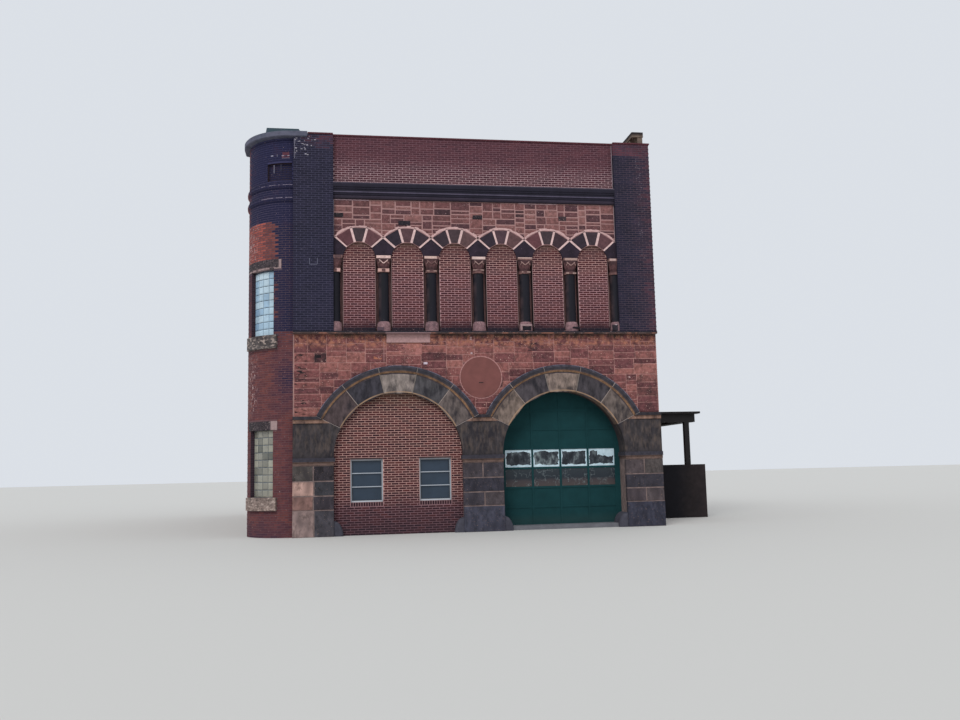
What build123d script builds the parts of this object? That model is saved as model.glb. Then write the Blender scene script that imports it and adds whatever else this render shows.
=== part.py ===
from build123d import *
from math import acos, asin, cos, degrees, radians, sin, sqrt
import os

# A two-storey brick and sandstone fire station with a round corner at its left.
# Sizes in millimetres. X runs to the right along the front, Y to the back and Z up.
# The origin is on the ground, on the centre line of the middle pier, in the plane of the stone face.

# Plan of the building
front_width = 11060
building_depth = 17000
corner_radius = 1400
front_wall = 500
side_wall = 400
parapet_wall = 350
facing_depth = 300
joint = 4
stone_joint = 12

# Levels
floor_level = 120
upper_floor_level = 5100
upper_floor_depth = 350
ledge_top = 5930
ledge_height = 70
ledge_reach = 60
roof_level = 10750
roof_depth = 300
front_top = 11970
coping_height = 40
coping_reach = 30

# Big arches, their hood moulds and the round stone between them
outer_pier_width = 1160
middle_pier_width = 1200
spring_level = 2240
ring_depth = 575
ring_proud = 90
voussoir_count = 5
hood_width = 200
hood_proud = 150
hood_splay = 50
hood_lip = 70
hood_lip_step = 20
hood_gap = 214
medallion_radius = 615
medallion_gap = 120
medallion_proud = 30

# Piers, imposts and the guard stones at their feet
pier_proud = 130
plinth_height = 750
plinth_reach = 35
lower_impost_height = 210
lower_impost_fillet = 90
upper_impost_fillet = 106
impost_reach = 70
fillet_reach = 30
impost_return = 40
guard_reach = 270
guard_height = 430
guard_rounding = 80

# Brick filling of the left arch with its two windows
infill_setback = 60
infill_window_shift = 68.5
infill_window_offset = 1003.5
infill_window_width = 940
infill_window_sill = 940
infill_window_top = 2180
window_frame = 60
window_frame_depth = 70
infill_window_setback = 90
glass_thickness = 12

# Overhead door behind the right arch
door_lap = 120
door_head_lap = 30
door_thickness = 50
door_bottom_cut = 60
door_section_count = 7
door_plain_count = 2
door_glass_count = 2
door_column_count = 4
door_end_stile = 139
door_rail = 60
door_recess = 18

# Arcade of the upper storey
pilaster_width = 1170
bay_count = 6
column_space = 479
arcade_ring = 465
arcade_spring = 8170
arcade_proud = 25
arcade_end = 43
key_half_angle = 15
infill_face = 20
column_axis = 110
shaft_radius = 155
base_height = 314
base_foot = 110
base_radius = 215
base_steps = 3
collar_height = 100
collar_proud = 30
capital_height = 307
bell_corner = 55.5
abacus_height = 89
abacus_width = 444
abacus_rise = 56

# Pilasters and string course: height and projection of each course, from the bottom
pilaster_proud = 120
band_bottom = 9960
band_courses = ((130, 50), (47, 75), (123, 90), (60, 110), (137, 130))

# Round corner: angles are measured from the front, round towards the side
corner_window_start = 24
corner_window_end = 64
corner_glass_depth = 100
corner_glass_setback = 120
corner_lintel_laps = (5.3, 9.7)
corner_sill_lap = 5
lintel_proud = 15
sill_proud = 95
roll_levels = ((9840, 10060), (10240, 10460))
roll_proud = 50
panel_start = 1.6
panel_end = 33.4
panel_bottom = 10500
panel_top = 11050
panel_recess = 90
cornice_bottom = 11810
cornice_top = 12000
cornice_reach = 160
cornice_run = 409
cornice_edge = 20
cap_height = 130
cap_setback = 150
cap_angle = 41
cap_run = 178

# Windows of both storeys: sill bottom, sill top, window top, lintel top
lower_window_levels = (770, 1140, 3080, 3335)
upper_window_levels = (5460, 5850, 7830, 8110)
side_window_width = 960
side_lintel_lap = 270
side_sill_lap = 145
side_glass_setback = 110
side_window_start = 3200
side_window_end = 1800
side_window_count = 5
right_lower_count = 2
rear_window_count = 4
rear_window_pitch = 2900

# Chimney on the right parapet, and the dock with its canopy
chimney_width = 377
chimney_depth = 1100
chimney_setback = 300
chimney_post = 164
chimney_post_height = 370
chimney_slab = 165
chimney_overhang = 20
chimney_left_setback = 300
dock_start = 3400
dock_length = 6000
dock_reach = 2825
dock_top = 940
guard_wall = 100
guard_wall_height = 875
canopy_reach = 2740
canopy_bottom = 3290
canopy_height = 360
canopy_roof = 70
canopy_overhang = 150
canopy_beam = 120
canopy_post = 170
canopy_post_inset = 540

# Derived places
half_front = front_width / 2
left_face = -half_front - corner_radius
rear_face = building_depth
jamb_inner = middle_pier_width / 2
jamb_outer = half_front - outer_pier_width
arch_centre = (jamb_outer + jamb_inner) / 2
arch_radius = (jamb_outer - jamb_inner) / 2
hood_inner = arch_radius + ring_depth
hood_outer = hood_inner + hood_width
skew_angle = degrees(asin((arch_centre - hood_gap / 2) / hood_outer))
upper_impost_top = spring_level + hood_outer * cos(radians(skew_angle))
hood_foot_level = spring_level + hood_inner * cos(radians(skew_angle))
medallion_level = spring_level + sqrt((hood_outer + medallion_gap + medallion_radius) ** 2 - arch_centre ** 2)
arcade_half_width = half_front - pilaster_width
bay_width = 2 * (arcade_half_width - arcade_end) / bay_count
arcade_radius = (bay_width - column_space) / 2
arcade_outer = arcade_radius + arcade_ring
arcade_skew = degrees(asin(bay_width / 2 / arcade_outer))
abacus_top = arcade_spring + abacus_rise
collar_level = abacus_top - abacus_height - capital_height - collar_height
band_top = band_bottom + sum(height for height, proud in band_courses)
corner_inner = corner_radius - side_wall
parapet_top = front_top - coping_height
side_window_pitch = (building_depth - side_window_start - side_window_end) / (side_window_count - 1)
cornice_end = -half_front + cornice_run
bay_centres = [(i - (bay_count - 1) / 2) * bay_width for i in range(bay_count)]
column_places = [(i - bay_count / 2) * bay_width for i in range(bay_count + 1)]


def block(x0, x1, y0, y1, z0, z1):
    """A rectangular solid between two corners."""
    return Pos((x0 + x1) / 2, (y0 + y1) / 2, (z0 + z1) / 2) * Box(x1 - x0, y1 - y0, z1 - z0)


def rect(x0, x1, z0, z1):
    """A rectangle in the drawing of the front, X across and Z up."""
    return Pos((x0 + x1) / 2, (z0 + z1) / 2) * Rectangle(x1 - x0, z1 - z0)


def outline(*points):
    """A face inside straight lines from point to point."""
    return make_face(Polyline(*points, close=True))


def from_front(drawing, y0, y1):
    """A drawing of the front made solid from depth y0 to depth y1."""
    face = Pos(0, y1, 0) * (Plane.XZ * drawing)
    return extrude(face, amount=y1 - y0, dir=(0, -1, 0))


def from_side(points, x0, x1):
    """A section drawn as (y, z) points, made solid along X."""
    face = Plane.YZ * outline(*points)
    return extrude(Pos(x0, 0, 0) * face, amount=x1 - x0, dir=(1, 0, 0))


def on_circle(centre, radius, angle, shift=0):
    """A point at an angle from the vertical, moved across the radius by a shift."""
    a = radians(angle)
    return (centre[0] + radius * sin(a) + shift * cos(a), centre[1] + radius * cos(a) - shift * sin(a))


def ring_part(centre, inner, outer, start, end, gap):
    """The drawing of one arch stone, between two radii and two angles, with half a joint at each end."""
    middle = (start + end) / 2
    half = gap / 2
    corners = [on_circle(centre, inner, start, half), on_circle(centre, inner, end, -half),
               on_circle(centre, outer, end, -half), on_circle(centre, outer, start, half)]
    edges = [ThreePointArc(corners[0], on_circle(centre, inner, middle), corners[1]),
             Line(corners[1], corners[2]),
             ThreePointArc(corners[2], on_circle(centre, outer, middle), corners[3]),
             Line(corners[3], corners[0])]
    return make_face(Curve() + edges)


def corner_part(inner, outer, start, end, z0, z1):
    """A piece of the round corner between two angles from the front."""
    def at(radius, angle):
        """A point in plan, with the angle counted from the front towards the side."""
        a = radians(angle)
        return (-radius * sin(a), -radius * cos(a))
    middle = (start + end) / 2
    edges = [ThreePointArc(at(inner, start), at(inner, middle), at(inner, end)),
             Line(at(inner, end), at(outer, end)),
             ThreePointArc(at(outer, end), at(outer, middle), at(outer, start)),
             Line(at(outer, start), at(inner, start))]
    face = Pos(-half_front, corner_radius, z0) * make_face(Curve() + edges)
    return extrude(face, amount=z1 - z0, dir=(0, 0, 1))


def corner_turned(section):
    """A (radius, level) section swept round the whole corner."""
    face = Plane.XZ * outline(*[(-radius, level) for radius, level in section])
    return Pos(-half_front, corner_radius, 0) * revolve(face, Axis.Z, revolution_arc=90)


def floor_plate(top, depth):
    """A slab between the walls, cut round at the corner."""
    x0 = left_face + side_wall
    body = block(x0, half_front - side_wall, front_wall, rear_face - side_wall, top - depth, top)
    corner_square = block(x0, -half_front, front_wall, corner_radius, top - depth, top)
    round_part = Pos(-half_front, corner_radius, top - depth / 2) * Cylinder(corner_inner, depth)
    return body - corner_square + (corner_square & round_part)


def floors():
    """The ground slab with the door's threshold, the upper floor and the flat roof."""
    threshold = block(jamb_inner + guard_reach, jamb_outer - guard_reach, 0, front_wall, 0, floor_level)
    return {"floor_slab": floor_plate(floor_level, floor_level) + threshold,
            "upper_floor": floor_plate(upper_floor_level, upper_floor_depth),
            "roof_deck": floor_plate(roof_level, roof_depth)}


def pier(x0, x1, left_return, right_return):
    """A pier on its wider plinth, with an impost that turns into the arch beside it as deep as given."""
    face = -pier_proud
    impost_bottom = spring_level - lower_impost_height
    fillet_top = impost_bottom + lower_impost_fillet
    body = block(x0, x1, face, front_wall, plinth_height, impost_bottom)
    body += block(x0, x1, face - plinth_reach, front_wall, 0, plinth_height)
    body += block(x0, x1, face - fillet_reach, front_wall, impost_bottom, fillet_top)
    body += block(x0, x1, face - impost_reach, front_wall, fillet_top, spring_level)
    if left_return:
        body += block(x0 - impost_return, x0, face - impost_reach, left_return, fillet_top, spring_level)
    if right_return:
        body += block(x1, x1 + impost_return, face - impost_reach, right_return, fillet_top, spring_level)
    return body


def skewback(outer_edge, side):
    """The drawing of the stone between a pier's outer edge and the foot of its arch ring."""
    centre = (side * arch_centre, spring_level)
    inner = on_circle(centre, arch_radius, side * skew_angle)
    middle = on_circle(centre, arch_radius, side * (skew_angle + 90) / 2)
    foot = (side * jamb_outer, spring_level)
    top = on_circle(centre, hood_outer, side * skew_angle)
    edges = [Line((outer_edge, spring_level), (outer_edge, upper_impost_top)),
             Line((outer_edge, upper_impost_top), top), Line(top, inner),
             ThreePointArc(inner, middle, foot), Line(foot, (outer_edge, spring_level))]
    return make_face(Curve() + edges)


def middle_skewback():
    """The drawing of the stone between the two arches, over the middle pier."""
    edges = []
    tops = []
    for side in (-1, 1):
        centre = (side * arch_centre, spring_level)
        top = on_circle(centre, hood_outer, -side * skew_angle)
        inner = on_circle(centre, arch_radius, -side * skew_angle)
        middle = on_circle(centre, arch_radius, -side * (skew_angle + 90) / 2)
        foot = (side * jamb_inner, spring_level)
        edges += [Line(top, inner), ThreePointArc(inner, middle, foot)]
        tops.append(top)
    edges += [Line(tops[0], tops[1]), Line((-jamb_inner, spring_level), (jamb_inner, spring_level))]
    return make_face(Curve() + edges)


def impost_band(far_end, top_end, foot_end):
    """The upper impost on the face of a skewback: a moulding over a fillet, mitred to the hood's foot."""
    bottom = hood_foot_level - upper_impost_fillet
    moulding = outline((far_end[0], upper_impost_top), (top_end, upper_impost_top),
                       (foot_end, hood_foot_level), (far_end[1], hood_foot_level))
    fillet = outline((far_end[1], hood_foot_level), (foot_end, hood_foot_level),
                     (foot_end, bottom), (far_end[1], bottom))
    face = -pier_proud
    return from_front(moulding, face - impost_reach, face) + from_front(fillet, face - fillet_reach, face)


def skewback_stones():
    """The stones over the three piers, with the upper impost across them."""
    top_x = hood_outer * sin(radians(skew_angle))
    foot_x = hood_inner * sin(radians(skew_angle))
    stones = []
    for side in (-1, 1):
        edge = side * half_front
        band = impost_band((edge, edge), side * (arch_centre + top_x), side * (arch_centre + foot_x))
        stones.append(from_front(skewback(edge, side), -pier_proud, facing_depth) + band)
    inner_top = arch_centre - top_x
    inner_foot = arch_centre - foot_x
    band = impost_band((-inner_top, -inner_foot), inner_top, inner_foot)
    stones.append(from_front(middle_skewback(), -pier_proud, facing_depth) + band)
    return stones


def hood_mould(side):
    """The moulding over an arch ring: a splayed inner face, a flat and a stepped lip."""
    face = -hood_proud
    section = outline((hood_inner, facing_depth), (hood_inner, -ring_proud), (hood_inner + hood_splay, face),
                      (hood_outer - hood_lip, face), (hood_outer - hood_lip, face + hood_lip_step),
                      (hood_outer, face + hood_lip_step), (hood_outer, facing_depth))
    end_gap = degrees(stone_joint / 2 / hood_outer)
    span = 2 * (skew_angle - end_gap)
    ring = revolve(section, Axis.Y, revolution_arc=span)
    upright = Pos(side * arch_centre, 0, spring_level) * Rot(0, -(90 + span / 2), 0)
    return upright * ring


def arch_stones(centre):
    """The voussoirs of one big arch."""
    step = 2 * skew_angle / voussoir_count
    stones = []
    for i in range(voussoir_count):
        start = -skew_angle + i * step
        drawing = ring_part(centre, arch_radius, hood_inner - joint, start, start + step, stone_joint)
        stones.append(from_front(drawing, -ring_proud, facing_depth))
    return stones


def ground_storey():
    """Piers, skewbacks, arch rings, hood moulds and the stone wall round them."""
    parts = {"pier_left": pier(-half_front, -jamb_outer, 0, infill_setback),
             "pier_middle": pier(-jamb_inner, jamb_inner, infill_setback, front_wall),
             "pier_right": pier(jamb_outer, half_front, front_wall, 0),
             "skewback_stones": skewback_stones(),
             "hood_moulds": [hood_mould(-1), hood_mould(1)],
             "arch_ring_left": arch_stones((-arch_centre, spring_level)),
             "arch_ring_right": arch_stones((arch_centre, spring_level))}
    wall = from_front(rect(-half_front, half_front, spring_level, ledge_top), 0, front_wall)
    for side in (-1, 1):
        centre = Pos(side * arch_centre, spring_level)
        wall -= from_front(centre * Circle(arch_radius), 0, front_wall)
        wall -= from_front(centre * Circle(hood_outer + joint), 0, facing_depth)
    wall -= from_front(rect(-half_front, half_front, spring_level, upper_impost_top), 0, facing_depth)
    parts["front_lower_wall"] = wall
    parts["medallion"] = from_front(Pos(0, medallion_level) * Circle(medallion_radius), -medallion_proud, 0)
    parts["arcade_ledge"] = block(-half_front, half_front, -pilaster_proud - ledge_reach, 0,
                                  ledge_top - ledge_height, ledge_top)
    return parts


def guard_stone(jamb, side, depth):
    """A guard stone against a jamb: a quarter ellipse from the front, with its front edge rounded."""
    oval = Pos(jamb, 0) * Ellipse(guard_reach, guard_height)
    ends = sorted((jamb, jamb + side * guard_reach))
    drawing = oval & rect(ends[0], ends[1], 0, guard_height)
    stone = from_front(drawing, -pier_proud, depth)
    front = stone.edges().filter_by(GeomType.ELLIPSE).sort_by(Axis.Y)[0]
    return fillet(front, guard_rounding)


def wheel_guards():
    """The guard stones at the feet of the four jambs."""
    return [guard_stone(-jamb_outer, 1, infill_setback), guard_stone(-jamb_inner, -1, infill_setback),
            guard_stone(jamb_inner, 1, front_wall), guard_stone(jamb_outer, -1, front_wall)]


def window(left, right, bottom, top, front):
    """A frame that fills an opening and the sheet of glass that fits inside it."""
    hole = rect(left + window_frame, right - window_frame, bottom + window_frame, top - window_frame)
    frame = from_front(rect(left, right, bottom, top) - hole, front, front + window_frame_depth)
    middle = front + (window_frame_depth - glass_thickness) / 2
    return frame, from_front(hole, middle, middle + glass_thickness)


def infill():
    """The brick filling of the left arch, with two windows cut through it."""
    drawing = Pos(-arch_centre, spring_level) * Circle(arch_radius - joint)
    drawing += rect(-jamb_outer, -jamb_inner, 0, spring_level)
    wall = from_front(drawing, infill_setback, front_wall)
    frames = []
    panes = []
    for side in (-1, 1):
        centre = -arch_centre + infill_window_shift + side * infill_window_offset
        left = centre - infill_window_width / 2
        right = centre + infill_window_width / 2
        wall -= block(left, right, infill_setback, front_wall, infill_window_sill, infill_window_top)
        front = infill_setback + infill_window_setback
        frame, pane = window(left, right, infill_window_sill, infill_window_top, front)
        frames.append(frame)
        panes.append(pane)
    return {"infill_wall": wall, "infill_window_frames": frames, "infill_window_glass": panes}


def engine_door():
    """The overhead door of sections, wider and higher than the arch that it closes from inside."""
    top = spring_level + arch_radius + door_head_lap
    section = (top - floor_level + door_bottom_cut) / door_section_count
    first = floor_level - door_bottom_cut
    x0 = jamb_inner + door_end_stile
    column = (jamb_outer - jamb_inner - 2 * door_end_stile) / door_column_count
    back = front_wall + door_thickness
    leaf = block(jamb_inner - door_lap, jamb_outer + door_lap, front_wall, back, floor_level, top)
    panes = []
    for row in range(door_section_count):
        low = max(first + row * section, floor_level) + door_rail / 2
        high = first + (row + 1) * section - door_rail / 2
        for col in range(door_column_count):
            left = x0 + col * column + door_rail / 2
            right = left + column - door_rail
            if door_plain_count <= row < door_plain_count + door_glass_count:
                leaf -= block(left, right, front_wall, back, low, high)
                middle = front_wall + (door_thickness - glass_thickness) / 2
                panes.append(block(left, right, middle, middle + glass_thickness, low, high))
            else:
                leaf -= block(left, right, front_wall, front_wall + door_recess, low, high)
    return {"engine_door": leaf, "engine_door_glass": panes}


def arcade():
    """Columns, arch stones and brick bays of the upper storey."""
    recess = rect(-arcade_half_width, arcade_half_width, ledge_top, arcade_spring)
    limit = rect(-arcade_half_width, arcade_half_width, ledge_top, band_bottom)
    for x in bay_centres:
        recess += Pos(x, arcade_spring) * Circle(arcade_outer + joint)
    recess &= limit
    wall = block(-half_front, half_front, 0, front_wall, ledge_top, band_top)
    wall -= from_front(recess, 0, facing_depth)
    bays = []
    stones = []
    angles = (-arcade_skew, -key_half_angle, key_half_angle, arcade_skew)
    for x in bay_centres:
        bay = Pos(x, arcade_spring) * Circle(arcade_radius - joint)
        bay += rect(x - arcade_radius + joint, x + arcade_radius - joint, ledge_top, arcade_spring)
        bays.append(from_front(bay, infill_face, facing_depth))
        for start, end in zip(angles, angles[1:]):
            drawing = ring_part((x, arcade_spring), arcade_radius, arcade_outer, start, end, stone_joint)
            stones.append(from_front(drawing & limit, -arcade_proud, facing_depth))
    clip = block(-arcade_half_width, arcade_half_width, -front_wall, facing_depth, ledge_top, front_top)
    return {"front_upper_wall": wall, "arcade_infill": bays, "arcade_voussoirs": stones,
            "arcade_shafts": [clip & column_shaft(x) for x in column_places],
            "column_bases": [clip & column_base(x) for x in column_places],
            "column_capitals": [clip & column_capital(x) for x in column_places],
            "springer_blocks": [clip & springer(x) for x in column_places]}


def turned(profile, x):
    """A round piece on a column's axis, turned from (radius, level) points."""
    points = [(0, profile[0][1])] + list(profile) + [(0, profile[-1][1])]
    return Pos(x, column_axis, 0) * revolve(Plane.XZ * outline(*points), Axis.Z)


def column_shaft(x):
    """The plain round shaft between base and collar."""
    return turned([(shaft_radius, ledge_top + base_height), (shaft_radius, collar_level)], x)


def column_base(x):
    """The domed base: a round foot, then a cushion that rounds in to the shaft."""
    dome = []
    for i in range(base_steps + 1):
        turn = radians(90) * i / base_steps
        radius = shaft_radius + (base_radius - shaft_radius) * cos(turn)
        dome.append((radius, ledge_top + base_foot + (base_height - base_foot) * sin(turn)))
    return turned([(base_radius, ledge_top)] + dome, x)


def column_capital(x):
    """The collar, the bell that spreads from eight sides to a square, and the abacus."""
    bell_bottom = collar_level + collar_height
    bell_top = bell_bottom + capital_height
    radius = shaft_radius + collar_proud
    half = abacus_width / 2
    collar = turned([(radius, collar_level), (radius, bell_bottom)], x)
    near = half - bell_corner
    corners = []
    for sx, sy in ((1, 1), (-1, 1), (-1, -1), (1, -1)):
        pair = [(sx * half, sy * near), (sx * near, sy * half)]
        corners += pair if sx * sy > 0 else pair[::-1]
    sides = len(corners)
    low = Pos(x, column_axis, bell_bottom) * RegularPolygon(shaft_radius, sides, rotation=180 / sides)
    high = Pos(x, column_axis, bell_top) * outline(*corners)
    bell = loft([low, high], ruled=True)
    abacus = block(x - half, x + half, column_axis - half, column_axis + half, bell_top, abacus_top)
    return collar + bell + abacus


def springer(x):
    """The five-sided block over a column, between the feet of two arches."""
    left = (x - bay_width / 2, arcade_spring)
    right = (x + bay_width / 2, arcade_spring)
    apex = (x, arcade_spring + arcade_outer * cos(radians(arcade_skew)) - stone_joint)
    low_angle = degrees(acos(abacus_rise / arcade_radius))
    mid_angle = (low_angle + arcade_skew) / 2
    foot_left = on_circle(left, arcade_radius, low_angle)
    foot_right = on_circle(right, arcade_radius, -low_angle)
    gap = stone_joint / 2
    shoulder_left = on_circle(left, arcade_radius, arcade_skew, gap)
    shoulder_right = on_circle(right, arcade_radius, -arcade_skew, -gap)
    edges = [Line(foot_left, foot_right),
             ThreePointArc(foot_right, on_circle(right, arcade_radius, -mid_angle), shoulder_right),
             Line(shoulder_right, apex), Line(apex, shoulder_left),
             ThreePointArc(shoulder_left, on_circle(left, arcade_radius, mid_angle), foot_left)]
    return from_front(make_face(Curve() + edges), -arcade_proud, facing_depth)


def front_top_parts():
    """Pilasters, string course and parapet of the front."""
    pilaster = block(-half_front, -arcade_half_width, -pilaster_proud, 0, ledge_top, parapet_top)
    left = pilaster - block(-half_front, cornice_end, -pilaster_proud, 0, cornice_bottom, parapet_top)
    level = band_bottom
    courses = []
    for height, proud in band_courses:
        courses.append(block(-arcade_half_width, arcade_half_width, -proud, 0, level, level + height))
        level += height
    band = courses[0]
    for course in courses[1:]:
        band += course
    parapet = block(-half_front, half_front, 0, parapet_wall, band_top, parapet_top)
    parapet -= block(-half_front, cornice_end, 0, parapet_wall, cornice_bottom, parapet_top)
    return {"pilasters": [left, mirror(pilaster, about=Plane.YZ)], "string_course": band,
            "front_parapet": parapet}


def corner_wall():
    """The round corner wall with its two rolls and the sunk panel over them."""
    wall = corner_part(corner_inner, corner_radius, 0, 90, 0, cornice_bottom)
    face = -corner_radius
    back = face + roll_proud
    for low, high in roll_levels:
        arc = ThreePointArc((face, low), (face - roll_proud, (low + high) / 2), (face, high))
        lines = [arc, Line((face, high), (back, high)), Line((back, high), (back, low)),
                 Line((back, low), (face, low))]
        roll = revolve(Plane.XZ * make_face(Curve() + lines), Axis.Z, revolution_arc=90)
        wall += Pos(-half_front, corner_radius, 0) * roll
    inner = corner_radius - panel_recess
    outer = corner_radius + roll_proud
    return wall - corner_part(inner, outer, panel_start, panel_end, panel_bottom, panel_top)


def corner():
    """The round corner with its window openings, lintels, sills, glass blocks and cornice."""
    wall = corner_wall()
    through = (corner_inner - side_wall, corner_radius + side_wall)
    start = corner_window_start
    end = corner_window_end
    glass_face = corner_radius - corner_glass_setback
    lintels = []
    sills = []
    panels = []
    for levels, lap in zip((lower_window_levels, upper_window_levels), corner_lintel_laps):
        sill_low, sill_high, top, lintel_top = levels
        wide = (start - lap, end + lap)
        low = (start - corner_sill_lap, end + corner_sill_lap)
        wall -= corner_part(*through, start, end, sill_high, top)
        wall -= corner_part(*through, *wide, top, lintel_top)
        wall -= corner_part(*through, *low, sill_low, sill_high)
        lintels.append(corner_part(corner_inner, corner_radius + lintel_proud, *wide, top, lintel_top))
        sills.append(corner_part(corner_inner, corner_radius + sill_proud, *low, sill_low, sill_high))
        panels.append(corner_part(glass_face - corner_glass_depth, glass_face, start, end, sill_high, top))
    return {"corner_wall": wall, "corner_lintels": lintels, "corner_sills": sills, "corner_windows": panels,
            "corner_cornice": cornice(), "cornice_cap": cornice_cap()}


def cornice():
    """The copper cornice round the corner, with a short straight run along each face."""
    reach = corner_radius + cornice_reach
    edge = cornice_edge
    section = [(corner_inner, cornice_bottom), (corner_radius + edge, cornice_bottom),
               (reach - edge, cornice_bottom + edge), (reach, cornice_bottom + 2 * edge),
               (reach, cornice_top - edge), (reach - edge, cornice_top), (corner_inner, cornice_top)]
    front = [(corner_radius - r, z) for r, z in section]
    along_front = from_side(front, -half_front, cornice_end)
    side_face = Plane.XZ * outline(*[(-half_front - r, z) for r, z in section])
    along_side = extrude(Pos(0, corner_radius, 0) * side_face, amount=cornice_run, dir=(0, 1, 0))
    return corner_turned(section) + along_front + along_side


def cornice_cap():
    """The low copper upstand on the cornice, part round and part straight along the front."""
    top = cornice_top + cap_height
    round_part = corner_part(corner_inner, corner_radius - cap_setback, 0, cap_angle, cornice_top, top)
    return round_part + block(-half_front, -half_front + cap_run, cap_setback, side_wall, cornice_top, top)


def side_windows(centres, storeys):
    """Openings, frames, glass, lintels and sills of a wall that stands along X at Y = 0."""
    holes = []
    frames = []
    panes = []
    lintels = []
    sills = []
    half = side_window_width / 2
    for (sill_low, sill_high, top, lintel_top), used in storeys:
        for i in used:
            left = centres[i] - half
            right = centres[i] + half
            lintel_ends = (left - side_lintel_lap, right + side_lintel_lap)
            sill_ends = (left - side_sill_lap, right + side_sill_lap)
            holes += [block(left, right, 0, side_wall, sill_high, top),
                      block(*lintel_ends, 0, side_wall, top, lintel_top),
                      block(*sill_ends, 0, side_wall, sill_low, sill_high)]
            frame, pane = window(left, right, sill_high, top, side_glass_setback)
            frames.append(frame)
            panes.append(pane)
            lintels.append(block(*lintel_ends, -lintel_proud, side_wall, top, lintel_top))
            sills.append(block(*sill_ends, -sill_proud, side_wall, sill_low, sill_high))
    return holes, frames, panes, lintels, sills


def plain_wall(length, centres, lower, upper, notch):
    """A side or rear wall along X with its windows, and a notch at its end for the cornice."""
    wall = block(0, length, 0, side_wall, 0, roof_level)
    wall += block(0, length, 0, parapet_wall, roof_level, parapet_top)
    if notch:
        wall -= block(length - notch, length, 0, parapet_wall, cornice_bottom, parapet_top)
    found = side_windows(centres, ((lower_window_levels, lower), (upper_window_levels, upper)))
    for hole in found[0]:
        wall -= hole
    return wall, found[1:]


def plain_walls():
    """The left, right and rear walls with their windows, each wall drawn along X and turned to its place."""
    left_length = rear_face - corner_radius
    right_length = rear_face - front_wall
    rear_length = half_front - left_face - 2 * side_wall
    places = [side_window_start + i * side_window_pitch for i in range(side_window_count)]
    left_centres = [rear_face - y for y in places]
    right_centres = [y - front_wall for y in places]
    rear_centres = [rear_length / 2 + (i - (rear_window_count - 1) / 2) * rear_window_pitch
                    for i in range(rear_window_count)]
    side_all = range(side_window_count)
    rear_all = range(rear_window_count)
    right_lower = range(side_window_count - right_lower_count, side_window_count)
    jobs = (("left_side_wall", plain_wall(left_length, left_centres, side_all, side_all, cornice_run),
             Pos(left_face, rear_face, 0) * Rot(0, 0, -90)),
            ("right_side_wall", plain_wall(right_length, right_centres, right_lower, side_all, 0),
             Pos(half_front, front_wall, 0) * Rot(0, 0, 90)),
            ("rear_wall", plain_wall(rear_length, rear_centres, rear_all, rear_all, 0),
             Pos(half_front - side_wall, rear_face, 0) * Rot(0, 0, 180)))
    names = ("side_window_frames", "side_window_glass", "side_lintels", "side_sills")
    parts = {name: [] for name in names}
    for name, (wall, found), place in jobs:
        parts[name] = place * wall
        for target, pieces in zip(names, found):
            parts[target] += [place * piece for piece in pieces]
    return parts


def coping():
    """Thin coping stones on the parapets, one length to each wall."""
    levels = (parapet_top, front_top)
    out = coping_reach
    inner = parapet_wall + out
    start = cornice_end + stone_joint
    front = block(start, half_front + out, -out, inner, *levels)
    for x0, x1 in ((start, -arcade_half_width), (arcade_half_width, half_front + out)):
        front += block(x0, x1, -pilaster_proud - out, 0, *levels)
    side_end = rear_face - inner - stone_joint
    right = block(half_front - inner, half_front + out, inner + stone_joint, side_end, *levels)
    left_start = corner_radius + cornice_run + stone_joint
    left = block(left_face - out, left_face + inner, left_start, side_end, *levels)
    rear = block(left_face - out, half_front + out, rear_face - inner, rear_face + out, *levels)
    return [front, right, left, rear]


def chimney():
    """A slab on three brick posts that stand on the right parapet."""
    x1 = half_front
    x0 = x1 - chimney_width
    y0 = chimney_setback
    y1 = y0 + chimney_depth
    slab_bottom = front_top + chimney_post_height
    body = block(x0, x1, y0, y1, slab_bottom, slab_bottom + chimney_slab)
    right_post = x1 - chimney_overhang - chimney_post
    front_post = y0 + chimney_overhang
    rear_post = y1 - chimney_overhang - chimney_post
    left_post = (x0 + chimney_overhang, y0 + chimney_left_setback)
    for x, y in ((right_post, front_post), (right_post, rear_post), left_post):
        body += block(x, x + chimney_post, y, y + chimney_post, front_top, slab_bottom)
    return body


def dock():
    """The raised dock on the right, with a low guard wall at its front."""
    x1 = half_front + dock_reach
    rail_top = dock_top + guard_wall_height
    body = block(half_front, x1, dock_start, dock_start + dock_length, 0, dock_top)
    return body + block(half_front, x1, dock_start, dock_start + guard_wall, dock_top, rail_top)


def canopy():
    """The canopy over the dock: a thin roof that overhangs a frame of beams, on the wall and two posts."""
    x1 = half_front + canopy_reach
    y0 = dock_start
    y1 = dock_start + dock_length
    top = canopy_bottom + canopy_height
    under = top - canopy_roof
    over = canopy_overhang
    inner = canopy_overhang + canopy_beam
    body = block(half_front, x1, y0, y1, under, top)
    body += block(half_front, x1 - over, y0 + over, y1 - over, canopy_bottom, under)
    body -= block(half_front + canopy_beam, x1 - inner, y0 + inner, y1 - inner, canopy_bottom, under)
    x = x1 - canopy_post_inset
    beam = block(x, x + canopy_post, y0 + over, y1 - over, canopy_bottom, under)
    for y in (y0 + over, y1 - over - canopy_post):
        beam += block(x, x + canopy_post, y, y + canopy_post, dock_top, canopy_bottom)
    return body + beam


def build():
    """All sub-parts by name."""
    parts = {}
    for group in (floors(), ground_storey(), infill(), engine_door(), arcade(), front_top_parts(), corner(),
                  plain_walls()):
        parts.update(group)
    parts["wheel_guards"] = wheel_guards()
    parts["parapet_coping"] = coping()
    parts["chimney"] = chimney()
    parts["side_dock"] = dock()
    parts["side_canopy"] = canopy()
    return parts


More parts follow.
